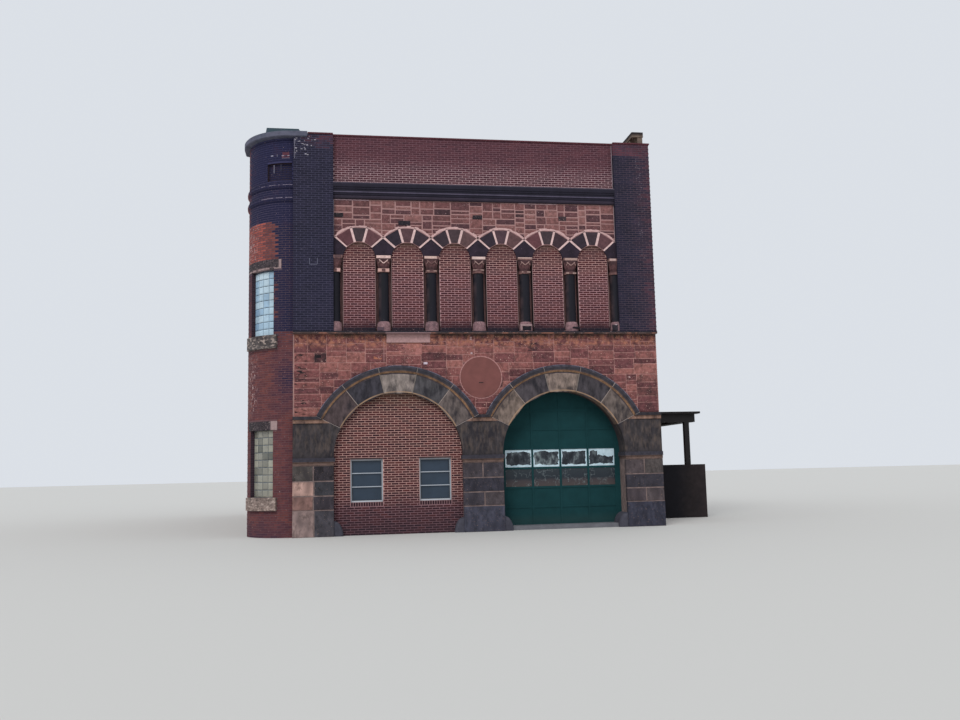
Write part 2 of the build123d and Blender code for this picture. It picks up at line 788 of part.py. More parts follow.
os.makedirs("parts", exist_ok=True)
for name, shape in build().items():
    if isinstance(shape, list):
        solids = [solid for piece in shape for solid in piece.solids()]
    else:
        solids = list(shape.solids())
    export_step(Compound(children=solids) if len(solids) > 1 else solids[0], "parts/" + name + ".step")
    print(name, len(solids))
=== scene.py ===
import math
import random

import bmesh
import bpy
import numpy as np
from mathutils import Matrix, Vector


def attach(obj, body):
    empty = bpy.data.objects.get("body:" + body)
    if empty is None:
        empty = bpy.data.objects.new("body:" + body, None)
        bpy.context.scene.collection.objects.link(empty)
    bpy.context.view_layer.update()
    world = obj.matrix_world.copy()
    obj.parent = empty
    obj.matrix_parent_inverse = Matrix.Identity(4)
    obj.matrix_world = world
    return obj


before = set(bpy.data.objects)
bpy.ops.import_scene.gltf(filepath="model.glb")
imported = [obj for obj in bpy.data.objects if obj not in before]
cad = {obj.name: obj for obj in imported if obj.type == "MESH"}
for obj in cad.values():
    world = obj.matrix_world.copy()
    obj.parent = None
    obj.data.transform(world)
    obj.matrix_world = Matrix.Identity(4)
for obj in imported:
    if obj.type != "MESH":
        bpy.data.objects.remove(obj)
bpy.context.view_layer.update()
random.seed(7)
bpy.context.scene.view_settings.view_transform = "Standard"

# %% [markdown]
# The front is seen at eye height, from a little to the left of its middle.
# A camera can be turned by three angles or by its axes. The axes are used here, because the same three
# directions were fitted to the edges of the front.
# %% Camera
CAMERA_PLACE = Vector((-4.168, -26.573, 1.83))
FRAME_WIDTH, LENS = 36, 33.764
YAW, PITCH, ROLL = (math.radians(angle) for angle in (8.884, 6.883, -1.310))
forward = Vector((math.sin(YAW) * math.cos(PITCH), math.cos(YAW) * math.cos(PITCH), math.sin(PITCH)))
level = Vector((math.cos(YAW), -math.sin(YAW), 0))
upright = level.cross(forward)
across = math.cos(ROLL) * level + math.sin(ROLL) * upright
camera_up = math.cos(ROLL) * upright - math.sin(ROLL) * level
camera_data = bpy.data.cameras.new("front_camera")
camera_data.sensor_width = FRAME_WIDTH
camera_data.lens = LENS
camera_data.clip_end = 300
camera = bpy.data.objects.new("front_camera", camera_data)
camera_axes = Matrix((across, camera_up, -forward)).transposed().to_4x4()
camera.matrix_world = Matrix.Translation(CAMERA_PLACE) @ camera_axes
bpy.context.scene.collection.objects.link(camera)
bpy.context.scene.camera = camera
print("camera at", tuple(round(n, 2) for n in CAMERA_PLACE))

# %% [markdown]
# Colours are written as web colours, as a colour picker shows them. The renderer works with linear light,
# so one function turns each pair of hex digits into a linear number. Nodes could be placed one by one with
# several lines each. One function that adds a node of any kind and fills or links its inputs is shorter.
# %% Colour and node tools
def colour(web):
    """A web colour such as #8a4f48 as linear red, green, blue and an alpha of one."""
    parts = [int(web[i:i + 2], 16) / 255 for i in (1, 3, 5)]
    return [c / 12.92 if c <= 0.04045 else ((c + 0.055) / 1.055) ** 2.4 for c in parts] + [1.0]


def node(tree, kind, inputs=(), output=0, stops=(), step="LINEAR", **settings):
    """Adds a node, gives its inputs numbers, web colours or links, and returns one of its outputs."""
    made = tree.nodes.new("ShaderNode" + kind)
    for key, value in settings.items():
        setattr(made, key, value)
    for key, value in inputs.items() if isinstance(inputs, dict) else enumerate(inputs):
        value = colour(value) if isinstance(value, str) else value
        if isinstance(value, bpy.types.NodeSocket):
            tree.links.new(value, made.inputs[key])
        else:
            made.inputs[key].default_value = value
    if stops:
        made.color_ramp.interpolation = step
        while len(made.color_ramp.elements) < len(stops):
            made.color_ramp.elements.new(0.5)
        for element, (position, web) in zip(made.color_ramp.elements, stops):
            element.position = position
            element.color = colour(web)
    return made.outputs[output] if len(made.outputs) else made


def new_finish(name, roughness):
    """A new material with its shader, its Object coordinates and its output in place."""
    material = bpy.data.materials.new(name)
    material.use_nodes = True
    tree = material.node_tree
    tree.nodes.clear()
    shader = node(tree, "BsdfPrincipled", {"Roughness": roughness, "Specular IOR Level": 0.3}).node
    node(tree, "OutputMaterial", {"Surface": shader.outputs[0]})
    return material, tree, shader, node(tree, "TexCoord", output="Object")


print("node tools ready, brick red is", [round(n, 3) for n in colour("#8a4f48")])

# %% [markdown]
# Dirt follows the shape of a building: a string course throws off water, a ledge drips, and soot keeps to
# the top. A painted image could show that, but it would need a flat layout of every wall. Rules are used
# here instead: each gives a colour or a strength by height, along the front, or round the big arches.
# %% Rules for places
ARCH_X = 2.485
ARCHES = (-ARCH_X, ARCH_X)
SPRING = 2.24


def clouds(tree, place, size, detail=6.0, stretch=(1, 1, 1)):
    """A soft pattern with features of a real size in metres, longer where its stretch is under one."""
    drawn = node(tree, "Mapping", {"Vector": place, "Scale": stretch})
    wanted = {"Vector": drawn, "Scale": 1 / size, "Detail": detail, "Roughness": 0.6}
    return node(tree, "TexNoise", wanted, "Fac")


def by_axis(axis, low, high, stops, step="LINEAR", size=0.2, wave=0.0):
    """A colour that follows one axis between two places, with a wavy border."""
    def rule(tree, place):
        value = node(tree, "SeparateXYZ", (place,), axis)
        if wave:
            value = node(tree, "Math", (clouds(tree, place, size), wave, value), operation="MULTIPLY_ADD")
            value = node(tree, "Math", (value, wave / 2), operation="SUBTRACT")
        part = node(tree, "MapRange", (value, low, high, 0.0, 1.0))
        return node(tree, "ValToRGB", (part,), stops=stops, step=step)
    return rule


def between(axis, low, high, fade=0.02):
    """One between two places along an axis and nought outside, with a soft edge."""
    def rule(tree, place):
        value = node(tree, "SeparateXYZ", (place,), axis)
        rise = node(tree, "MapRange", (value, low - fade, low + fade, 0.0, 1.0))
        fall = node(tree, "MapRange", (value, high - fade, high + fade, 1.0, 0.0))
        return node(tree, "Math", (rise, fall), operation="MULTIPLY")
    return rule


def joined(operation, first, second):
    """Two rules made one: MULTIPLY holds where both hold, and MAXIMUM where either does."""
    def rule(tree, place):
        return node(tree, "Math", (first(tree, place), second(tree, place)), operation=operation)
    return rule


def patches(rule, size, low, high, stretch=(1, 1, 1)):
    """A rule broken up into patches of a size in metres."""
    def broken(tree, place):
        return node(tree, "MapRange", (clouds(tree, place, size, 6.0, stretch), low, high, 0.0, 1.0))
    return joined("MULTIPLY", broken, rule)


def arch_reach(tree, place):
    """The distance from the centre of the nearer big arch."""
    side = node(tree, "Math", (node(tree, "SeparateXYZ", (place,), 0),), operation="ABSOLUTE")
    side = node(tree, "Math", (side, ARCH_X), operation="SUBTRACT")
    rise = node(tree, "Math", (node(tree, "SeparateXYZ", (place,), 2), SPRING), operation="SUBTRACT")
    arm = node(tree, "CombineXYZ", {0: side, 2: rise})
    return node(tree, "VectorMath", (arm,), "Value", operation="LENGTH")


print("place rules ready for arches at", ARCHES)

# %% [markdown]
# Masonry is never one colour. Each brick or stone left the kiln or quarry with its own tint, then rain and
# smoke stained the wall across many of them. So a tint and a soot value are kept on each brick. A soft
# pattern mottles them, another clouds the soot, a fine one gives the grain, and specks are chips and salt.
# Fired clay and dry stone scatter light widely, so their roughness is near one.
# %% Masonry finish
def masonry(name, base=None, stain="#26232b", patch=0.25, grain=0.012, relief=0.004, roughness=0.9,
            mottle=(0.2, 0.3), streak=(1, 1, 1), specks=None, over=(), cloud=0.45):
    """Brick or stone: its paint, stain, relief in metres, mottle, specks, and colours laid over it."""
    material, tree, shader, place = new_finish(name, roughness)
    if base is None:
        paint = node(tree, "Attribute", output="Color", attribute_name="tint")
        soot = node(tree, "Attribute", output="Fac", attribute_name="soot")
    else:
        paint = base(tree, place) if callable(base) else colour(base)[:3]
        soot = 0.0
    size, depth = mottle
    light = clouds(tree, place, size, 7.0, streak)
    light = node(tree, "MapRange", (light, 0.3, 0.7, 1 - depth, 1 + depth))
    paint = node(tree, "VectorMath", {0: paint, "Scale": light}, operation="SCALE")
    smoke = node(tree, "MapRange", (clouds(tree, place, cloud, 9.0, streak), 0.35, 0.65, -patch, patch))
    dirt = node(tree, "Math", (soot, smoke), operation="ADD", use_clamp=True)
    layers = [(dirt, stain)]
    for web, strength, rule in over:
        layers.append((node(tree, "Math", (rule(tree, place), strength), operation="MULTIPLY"), web))
    if specks:
        web, limit = specks
        chips = node(tree, "Math", (clouds(tree, place, 0.035, 2.0), limit), operation="GREATER_THAN")
        layers.append((chips, web))
    for strength, web in layers:
        paint = node(tree, "Mix", {0: strength, 6: paint, 7: web}, 2, data_type="RGBA")
    fine = clouds(tree, place, grain, 4.0)
    bump = node(tree, "Bump", {"Height": fine, "Distance": relief, "Strength": 0.8})
    tree.links.new(paint, shader.inputs["Base Color"])
    tree.links.new(bump, shader.inputs["Normal"])
    return material


print("masonry finish ready")

# %% [markdown]
# A wall solid is the mortar that its bricks are set in. Only its outer side shows mortar: the sides of its
# openings and its inner face are brick too, so there the finish draws courses of the true height.
# %% Mortar beds
COURSE = 0.0677
BRICK_LENGTH = 0.204
BRICK_JOINT = 0.012
HALF_FRONT = 5.53
CORNER_RADIUS = 1.4
FRONT, LEFT, RIGHT, BACK = (0, -1, 0), (-1, 0, 0), (1, 0, 0), (0, 1, 0)


def inward(tree, place, outward):
    """One on the faces of a wall that don't look outward, for a flat wall or the round corner."""
    if outward != "round":
        normal = node(tree, "TexCoord", output="Normal")
        facing = node(tree, "VectorMath", (normal, outward), "Value", operation="DOT_PRODUCT")
        return node(tree, "Math", (facing, 0.5), operation="LESS_THAN")
    centre = (-HALF_FRONT, CORNER_RADIUS, 0)
    arm = node(tree, "VectorMath", (place, centre), operation="SUBTRACT")
    plan = node(tree, "VectorMath", (arm, (1, 1, 0)), operation="MULTIPLY")
    reach = node(tree, "VectorMath", (plan,), "Value", operation="LENGTH")
    return node(tree, "Math", (reach, CORNER_RADIUS - 0.005), operation="LESS_THAN")


def mortar_bed(name, mortar, brick, outward):
    """Mortar of a colour or a rule on faces that look outward, and brick courses on all other faces."""
    material, tree, shader, place = new_finish(name, 0.95)
    speckle = clouds(tree, place, 0.11)
    pale = mortar(tree, place) if callable(mortar) else colour(mortar)[:3]
    light = node(tree, "MapRange", (speckle, 0.3, 0.7, 0.8, 1.15))
    pale = node(tree, "VectorMath", {0: pale, "Scale": light}, operation="SCALE")
    along = [node(tree, "SeparateXYZ", (place,), axis) for axis in (0, 1)]
    flat = node(tree, "CombineXYZ", {0: node(tree, "Math", along, operation="ADD"),
                                     1: node(tree, "SeparateXYZ", (place,), 2)})
    courses = node(tree, "TexBrick", {"Vector": flat, "Scale": 1.0, "Color1": brick[0], "Color2": brick[1],
                                      "Mortar": brick[2], "Mortar Size": BRICK_JOINT / 2,
                                      "Brick Width": BRICK_LENGTH + BRICK_JOINT, "Row Height": COURSE})
    paint = node(tree, "Mix", {0: inward(tree, place, outward), 6: pale, 7: courses}, 2, data_type="RGBA")
    tree.links.new(paint, shader.inputs["Base Color"])
    tree.links.new(node(tree, "Bump", {"Height": speckle, "Distance": 0.003}), shader.inputs["Normal"])
    return material


print("mortar beds ready, course", COURSE)

# %% [markdown]
# Each piece is modelled in edit mode. These helpers clear the selection, pick faces by the way they face,
# and hand a finished piece to the frame, which moves it with the building.
# %% Modelling helpers
def clear_selection():
    """Leaves edit mode and deselects everything."""
    if bpy.context.object and bpy.context.object.mode != "OBJECT":
        bpy.ops.object.mode_set(mode="OBJECT")
    bpy.ops.object.select_all(action="DESELECT")


def pick_faces(test):
    """In edit mode, selects the faces whose normal passes a test."""
    bpy.ops.mesh.select_mode(type="FACE")
    bpy.ops.mesh.select_all(action="DESELECT")
    shape = bmesh.from_edit_mesh(bpy.context.object.data)
    for face in shape.faces:
        face.select_set(bool(test(face.normal)))
    bmesh.update_edit_mesh(bpy.context.object.data)


def start_box(low, high):
    """A cube primitive that fills a box, left in edit mode with all of it selected."""
    clear_selection()
    middle = [(a + b) / 2 for a, b in zip(low, high)]
    bpy.ops.mesh.primitive_cube_add(size=1, location=middle, scale=[b - a for a, b in zip(low, high)])
    bpy.ops.object.transform_apply(location=True, rotation=True, scale=True)
    bpy.ops.object.mode_set(mode="EDIT")
    bpy.ops.mesh.select_all(action="SELECT")
    return bpy.context.object


def finish_piece(piece, name, finish):
    """Names a piece, gives it its finish, and lets it ride on the building."""
    clear_selection()
    piece.name = name
    piece.data.name = name
    piece.data.materials.clear()
    piece.data.materials.append(finish)
    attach(piece, "root")
    return piece


def dress(finish, *node_names):
    """Gives solids of the frame their finish."""
    for node_name in node_names:
        piece = cad[node_name]
        piece.data.materials.clear()
        piece.data.materials.append(finish)


print("modelling helpers ready")

# %% [markdown]
# Thousands of bricks repeat one shape, so one brick is modelled and its points are copied to every place.
# When a copy is longer or higher than the model, only its middle stretches, so worn edges keep their width.
# %% Models of a brick and a stone
def take_model(piece, half_length, half_height, margin):
    """Reads the points and faces of a modelled brick or stone, and clears it away."""
    clear_selection()
    points = np.array([v.co[:] for v in piece.data.vertices])
    faces = [tuple(p.vertices) for p in piece.data.polygons]
    bpy.data.objects.remove(piece)
    return {"points": points, "faces": faces, "half": (half_length, half_height), "margin": margin}


def model_brick():
    """A brick whose front is a little smaller than its back, as a pressed brick with worn edges looks."""
    piece = start_box((-0.1, 0, -0.029), (0.1, 0.02, 0.029))
    pick_faces(lambda normal: normal.y < -0.5)
    bpy.ops.transform.resize(value=(0.985, 1, 0.93))
    return take_model(piece, 0.1, 0.029, 0.006)


def model_stone():
    """A squared stone: a chamfer round its front, and a front of nine panels that can be made rough."""
    piece = start_box((-0.25, 0, -0.1), (0.25, 0.05, 0.1))
    pick_faces(lambda normal: normal.y < -0.5)
    bpy.ops.mesh.bevel(offset=0.008, segments=1, affect="EDGES")
    pick_faces(lambda normal: normal.y < -0.9)
    bpy.ops.mesh.inset(thickness=0.02)
    bpy.ops.mesh.subdivide(number_cuts=2)
    return take_model(piece, 0.25, 0.1, 0.03)


BRICK = model_brick()
STONE = model_stone()
print("brick faces:", len(BRICK["faces"]), "stone faces:", len(STONE["faces"]))

# %% [markdown]
# A wall is a map that turns a flat drawing into space: along the wall, out from its face, and up. A straight
# wall, the round corner, and a band bent round an arch each have their own map, so one way of laying serves
# them all.
# %% Maps of walls
def flat_wall(origin, right):
    """The map of a flat wall from (along, out, up) to space."""
    def to_space(s, d, z):
        return np.stack([origin[0] + s * right[0] + d * right[1], origin[1] + s * right[1] - d * right[0],
                         origin[2] + z], axis=-1)
    return to_space


def front_wall(back):
    """The map of a wall of the front that stands some way behind the stone face, or before it."""
    return flat_wall((0, back, 0), (1, 0))


def corner_wall(s, d, z):
    """The map of the round corner: along it is an arc length, nought at the front, negative to the side."""
    turn = s / CORNER_RADIUS
    return np.stack([-HALF_FRONT + (CORNER_RADIUS + d) * np.sin(turn),
                     CORNER_RADIUS - (CORNER_RADIUS + d) * np.cos(turn), z], axis=-1)


def turned_wall(x, height, degrees):
    """The map of a drawing on the front turned round a centre, so that its up points away from it."""
    c, t = math.cos(math.radians(degrees)), math.sin(math.radians(degrees))

    def to_space(s, d, z):
        return np.stack([x + s * c + z * t, -d, height - s * t + z * c], axis=-1)
    return to_space


def arch_wall(x, height):
    """The map of a band round a centre on the front: along it is an angle in degrees, up is the radius."""
    def to_space(s, d, z):
        turn = np.radians(s)
        return np.stack([x + z * np.sin(turn), -d, height + z * np.cos(turn)], axis=-1)
    return to_space


front_plane = front_wall(0)
print("wall maps ready")

# %% [markdown]
# Laying means copying the model to each spot and bending it with the wall's map. A spot names the left and
# right end, the bottom and top, a tint and its soot. The tint is a web colour, or a number that picks from
# a palette of the kiln or quarry.
# %% Laying bricks and stones
def fit_ends(values, half, margin, wanted):
    """Moves the ends of a model out to a wanted half size and keeps its margins as they are."""
    size = np.abs(values)[None, :]
    margin = np.minimum(margin, wanted * 0.6)[:, None]
    inner = size * (wanted[:, None] - margin) / (half - margin)
    edge = wanted[:, None] - (half - size)
    return np.sign(values)[None, :] * np.where(size > half - margin + 1e-6, np.maximum(edge, 0.0), inner)


def tints_of(spots, palette):
    """The linear colour of each spot, from its web colour or from its place on the palette."""
    if palette is None:
        return np.array([colour(spot[4])[:3] for spot in spots])
    stops = np.array([colour(web)[:3] for web in palette])
    steps = np.linspace(0, 1, len(stops))
    tones = [spot[4] for spot in spots]
    return np.stack([np.interp(tones, steps, stops[:, channel]) for channel in range(3)], axis=-1)


def set_blocks(model, spots, wall, proud, depth, palette=None, rough=0.0, scale=1.0):
    """Copies a model to its spots. Scale is the length of one unit along the wall, in metres."""
    sizes = np.array([spot[:4] for spot in spots], dtype=float)
    points = model["points"]
    count = len(points)
    half = model["half"]
    s = fit_ends(points[:, 0], half[0], model["margin"], (sizes[:, 1] - sizes[:, 0]) / 2 * scale) / scale
    z = fit_ends(points[:, 2], half[1], model["margin"], (sizes[:, 3] - sizes[:, 2]) / 2)
    s += ((sizes[:, 0] + sizes[:, 1]) / 2)[:, None]
    z += ((sizes[:, 2] + sizes[:, 3]) / 2)[:, None]
    back = points[:, 1] / points[:, 1].max()
    d = np.repeat((proud - back * depth)[None, :], len(spots), axis=0)
    if rough:
        inner = (np.abs(points[:, 0]) < half[0] - 0.02) & (np.abs(points[:, 2]) < half[1] - 0.02)
        inner &= points[:, 1] < 1e-4
        d[:, inner] += rough * np.random.default_rng(1).random((len(spots), int(inner.sum())))
    space = wall(s, d, z).reshape(-1, 3)
    faces = [tuple(v + i * count for v in face) for i in range(len(spots)) for face in model["faces"]]
    tints = np.repeat(tints_of(spots, palette), count, axis=0)
    return space, faces, tints, np.repeat([spot[5] for spot in spots], count)


def build_blocks(name, batches, finish):
    """Makes one piece of several batches of set blocks."""
    shift = 0
    faces = []
    for batch in batches:
        faces += [tuple(v + shift for v in face) for face in batch[1]]
        shift += len(batch[0])
    mesh = bpy.data.meshes.new(name)
    mesh.from_pydata(np.concatenate([batch[0] for batch in batches]).tolist(), [], faces)
    tints = np.concatenate([batch[2] for batch in batches])
    tints = np.concatenate([tints, np.ones((len(tints), 1))], axis=1)
    mesh.attributes.new("tint", "FLOAT_COLOR", "POINT").data.foreach_set("color", tints.ravel())
    soots = np.concatenate([batch[3] for batch in batches])
    mesh.attributes.new("soot", "FLOAT", "POINT").data.foreach_set("value", soots)
    piece = bpy.data.objects.new(name, mesh)
    bpy.context.scene.collection.objects.link(piece)
    print(name, "points", shift, "faces", len(faces))
    return finish_piece(piece, name, finish)


print("laying ready")

# %% [markdown]
# A bricklayer works row by row and cuts a brick where an opening begins. The same is done with numbers:
# a row is a length, openings are taken out of it, and bricks are counted into what is left.
# %% Rows with openings
def less(spans, cuts):
    """What is left of some lengths when stretches are taken out."""
    for start, end in cuts:
        if end > start:
            spans = [part for a, b in spans for part in ((a, min(b, start)), (max(a, end), b))
                     if part[1] - part[0] > 0.02]
    return spans


def half_chord(radius, height):
    """Half the width of a circle at a height over its centre, or nothing outside it."""
    return math.sqrt(radius * radius - height * height) if abs(height) < radius else 0.0


def brick_rows(low, high, spans_at, soot_at, first=0.0, tone_at=None, joint=BRICK_JOINT):
    """Brick spots in running bond between two levels."""
    spots = []
    pitch = BRICK_LENGTH + BRICK_JOINT
    for row in range(int(round((high - low) / COURSE))):
        z0 = low + row * COURSE
        z1 = min(z0 + COURSE - joint, high)
        start = first + (row % 2) * pitch / 2
        for a, b in spans_at(z0, z1):
            for k in range(math.floor((a - start) / pitch), math.ceil((b - start) / pitch)):
                left = max(a, start + k * pitch)
                right = min(b, start + (k + 1) * pitch - joint)
                if right - left > 0.03:
                    middle = (left + right) / 2
                    tone = tone_at(middle, z0) if tone_at else random.random()
                    spots.append((left, right, z0, z1, tone, soot_at(middle, z0)))
    return spots


def stains(marks):
    """A soot map from marks of (along, up, half width, half height, strength)."""
    def soot_at(s, z):
        found = 0.0
        for x, y, wide, high, strength in marks:
            away = ((s - x) / wide) ** 2 + ((z - y) / high) ** 2
            found = max(found, strength * max(0.0, 1.6 - away) / 1.6)
        return found
    return soot_at


print("row tools ready")

# %% [markdown]
# The left arch was bricked up later, in modern red brick with pale joints. Its rows end under the arch
# stones, and they stop at the two windows. A row of bricks on end makes each sill. An image of brickwork
# would look flat from the side, so every brick is laid.
# %% Brick filling of the left arch
INFILL_RED = ["#341920", "#411f24", "#4b2427", "#5a2b2b"]
INFILL_RADIUS = 1.883
PAIR_MIDDLE, PAIR_REACH, WINDOW_HALF = -ARCH_X + 0.0685, 1.0035, 0.47
WINDOW_CENTRES = [PAIR_MIDDLE + side * PAIR_REACH for side in (-1, 1)]
WINDOW_SPANS = [(c - WINDOW_HALF, c + WINDOW_HALF) for c in WINDOW_CENTRES]
SILL_BRICKS = 13


def infill_spans(z0, z1):
    """The free lengths of one row of the filling."""
    half = INFILL_RADIUS if z1 < SPRING else half_chord(INFILL_RADIUS, z0 - SPRING)
    cuts = [(a - 0.012, b + 0.012) for a, b in WINDOW_SPANS] if z1 > 0.845 and z0 < 2.225 else []
    return less([(-ARCH_X - half, -ARCH_X + half)], cuts) if half > 0.05 else []


def infill_soot(s, z):
    """Damp at the foot."""
    return 0.6 * max(0.0, 1 - z / 1.3) + 0.06 * random.random()


rows = brick_rows(0.0, 4.13, infill_spans, infill_soot, joint=0.0128)
for a, b in WINDOW_SPANS:
    step = (b - a) / SILL_BRICKS
    for k in range(SILL_BRICKS):
        left = a + k * step
        rows.append((left + 0.007, left + step - 0.007, 0.82, 0.934, random.random() * 0.5, 0.5))
    rows.append((a - 0.01, b + 0.01, 2.183, 2.222, 0.0, 0.7))
infill_brick = masonry("pressed_red_brick", stain="#231d26", patch=0.06, mottle=(0.05, 0.12),
                       over=(("#5f4a38", 0.45, between(2, 3.95, 9.0, 0.2)),))
build_blocks("infill_bricks", [set_blocks(BRICK, rows, front_wall(0.06), 0.004, 0.02, INFILL_RED)],
             infill_brick)
infill_mortar = by_axis(2, 0.0, 4.2, [(0.0, "#6a5058"), (0.18, "#8f6c72"), (0.3, "#c39a92"),
                                      (0.8, "#c89e93"), (1.0, "#96806e")], size=0.5, wave=0.3)
dress(mortar_bed("pale_pink_mortar", infill_mortar, ("#4a2526", "#5b2e2d", "#8d6a66"), FRONT),
      "infill_wall")

# %% [markdown]
# The six bays between the columns have the same brick. The lowest rows are black with soot washed off the
# ledge. A thin line of mortar closes each side against the old stone.
# %% Bricks of the arcade bays
BAY = 1.439
BAYS = [(i - 2.5) * BAY for i in range(6)]
COLUMNS = [(i - 3) * BAY for i in range(7)]
BAY_HALF = 0.474
ARCADE_SPRING = 8.17
LEDGE_TOP = 5.93
BAY_RED = ["#401e26", "#4c2529", "#582b2d"]


def bay_spans(z0, z1):
    """The free lengths of one row in all six bays."""
    half = BAY_HALF if z1 < ARCADE_SPRING else half_chord(BAY_HALF, z0 - ARCADE_SPRING)
    return [(x - half, x + half) for x in BAYS] if half > 0.05 else []


def bay_soot(s, z):
    """Black at the ledge."""
    return (0.92 if z < 6.04 else 0.5 * max(0.0, 1 - (z - 6.04) / 0.25)) + 0.08 * random.random()


bay_brick = masonry("bay_red_brick", stain="#1d1a26", patch=0.04, mottle=(0.05, 0.12),
                    over=(("#5c4a3c", 0.6, between(2, 8.545, 9.5, 0.095)),), specks=("#bd9796", 0.72))
bay_rows = brick_rows(LEDGE_TOP, 8.66, bay_spans, bay_soot, first=0.03, joint=0.0132)
edges = [(x + side * 0.4745 - 0.005, x + side * 0.4745 + 0.005, 6.1, ARCADE_SPRING, "#a98d8c", 0.0)
         for x in BAYS for side in (-1, 1)]
build_blocks("arcade_bricks", [set_blocks(BRICK, bay_rows, front_wall(0.02), 0.004, 0.02, BAY_RED),
                               set_blocks(BRICK, edges, front_wall(0.02), 0.007, 0.02)],
             bay_brick)
bay_mortar = by_axis(2, LEDGE_TOP, 8.6, [(0.0, "#332b33"), (0.06, "#5f484d"), (0.14, "#ab8083"),
                                         (0.6, "#c29698"), (0.8, "#ca9f98"), (1.0, "#8a6c66")],
                     size=0.5, wave=0.4)
dress(mortar_bed("pale_pink_bay_mortar", bay_mortar, ("#33242a", "#3c2a2d", "#4a383b"), FRONT),
      "arcade_infill")

# %% [markdown]
# Red sandstone walls are built of squared stones of many sizes that lock into each other. Such a wall can be
# drawn by splitting a long rectangle again and again at random places, until every piece is a stone that a
# mason can lift.
# %% Squared sandstone
def random_stones(box, length, height, joint, soot_at, keep, seed):
    """Stone spots from a rectangle (left, right, low, high) split until each stone is small enough."""
    dice = random.Random(seed)
    todo = [box]
    spots = []
    while todo:
        a, b, low, high = todo.pop()
        wide, tall = b - a, high - low
        flat = tall <= height[1]
        if (wide > 2 * tall and not flat) or (wide > length and (flat or dice.random() < 0.4)):
            cut = a + wide * dice.uniform(0.32, 0.68)
            todo += [(a, cut, low, high), (cut, b, low, high)]
        elif not flat or (tall > 2 * height[0] and dice.random() < 0.3):
            cut = low + tall * dice.uniform(0.33, 0.67)
            todo += [(a, b, low, cut), (a, b, cut, high)]
        elif keep(a, b, low, high):
            middle = ((a + b) / 2, (low + high) / 2)
            half = joint * dice.uniform(0.3, 0.7)
            spots.append((a + half, b - half, low + half, high - half, dice.random(),
                          soot_at(*middle) + 0.06 * dice.random()))
    return spots


def clear_of(centres, height, radius):
    """Keeps stones whose nearest corner is outside some circles."""
    def keep(a, b, low, high):
        return all(math.hypot(max(a - x, x - b, 0.0), max(low - height, 0.0)) >= radius for x in centres)
    return keep


print("a wall of 1 by 1 m has", len(random_stones((0, 1, 0, 1), 0.6, (0.12, 0.3), 0.03, stains([]),
                                                  clear_of([], 0, 0), 1)), "stones")

# %% [markdown]
# The wall over the arcade is sandstone in wide pink joints. A few stones have gone black or fallen out, and
# they are laid one by one over the others.
# %% Upper sandstone wall
BLACK_STONES = [(-4.33, -4.06, 9.40, 9.54, "#2b2428", 0.0), (-2.42, -2.06, 9.18, 9.33, "#29232a", 0.0),
                (-0.15, 0.15, 9.42, 9.55, "#2d262b", 0.0), (2.55, 2.80, 9.43, 9.56, "#3b2f33", 0.0)]
SANDSTONE_UPPER = ["#4e3439", "#603f42", "#6f4848", "#7c5250", "#8e6460"]
upper_marks = stains([(-3.9, 9.70, 0.5, 0.25, 0.35), (1.33, 9.63, 0.3, 0.13, 0.6),
                      (-1.0, 9.6, 0.4, 0.2, 0.3)])
upper_stone = masonry("weathered_red_sandstone", stain="#2a2429", patch=0.2, grain=0.03, relief=0.012,
                      mottle=(0.10, 0.42), specks=("#b99a98", 0.69))
upper_spots = random_stones((-4.345, 4.345, 8.70, 9.955), 0.62, (0.12, 0.30), 0.034, upper_marks,
                            clear_of(BAYS, ARCADE_SPRING, 0.56), 3)
build_blocks("upper_sandstone", [
    set_blocks(STONE, upper_spots, front_plane, 0.008, 0.04, SANDSTONE_UPPER, rough=0.008),
    set_blocks(STONE, BLACK_STONES, front_plane, 0.016, 0.03, rough=0.01)], upper_stone)
dress(mortar_bed("pink_stone_mortar", "#a8817e", ("#2b2427", "#3a2e2e", "#4a3c3e"), FRONT),
      "front_upper_wall")

# %% [markdown]
# The wall round the big arches is the same stone, redder, with less of its pointing left. Water drips off
# the ledge over it, so there is a band of olive dirt with ragged runs, and bare orange stone under that.
# The column of stones at its left end is pitted black.
# %% Dirt of the lower wall
def drips(tree, place):
    """Strong at the ledge and gone a hand or two under it, ragged, and weak at the left end."""
    ragged = node(tree, "Math", (clouds(tree, place, 0.16, 5.0, (1, 1, 0.25)), 0.55,
                                 node(tree, "SeparateXYZ", (place,), 2)), operation="MULTIPLY_ADD")
    reach = node(tree, "MapRange", (ragged, 6.0, 6.12, 0.0, 1.0))
    right = node(tree, "MapRange", (node(tree, "SeparateXYZ", (place,), 0), -4.5, -4.3, 0.2, 1.0))
    return node(tree, "Math", (reach, right), operation="MULTIPLY")


left_end = joined("MULTIPLY", between(0, -5.49, -5.14, 0.03), between(2, 3.5, 5.3, 0.05))
under_ledge = ("#b87a62", 0.8, patches(between(2, 5.50, 5.95, 0.10), 0.14, 0.44, 0.60))
olive_drips = ("#393632", 0.9, patches(drips, 0.5, 0.36, 0.50))
black_pits = ("#231c20", 1.0, patches(left_end, 0.10, 0.52, 0.60, (0.5, 1, 1.5)))
lower_stone = masonry("stained_red_sandstone", stain="#2f2528", patch=0.4, grain=0.03, relief=0.012,
                      cloud=0.3, mottle=(0.10, 0.45), over=(under_ledge, olive_drips, black_pits),
                      specks=("#c9a598", 0.68))
# The mortar on the faces behind the front, the sides of the openings, is painted dark grey: painted shade.
lower_bed = masonry("worn_pink_mortar", base="#ad7f78", stain="#54373a", patch=0.9, mottle=(0.1, 0.2),
                    cloud=0.3, over=(("#8f6150", 0.6, under_ledge[2]), olive_drips,
                                     ("#3c3638", 1.0, between(1, 0.02, 1.0, 0.01))))
dress(lower_bed, "front_lower_wall")
print("dirt of the lower wall has", len(lower_stone.node_tree.nodes), "nodes")

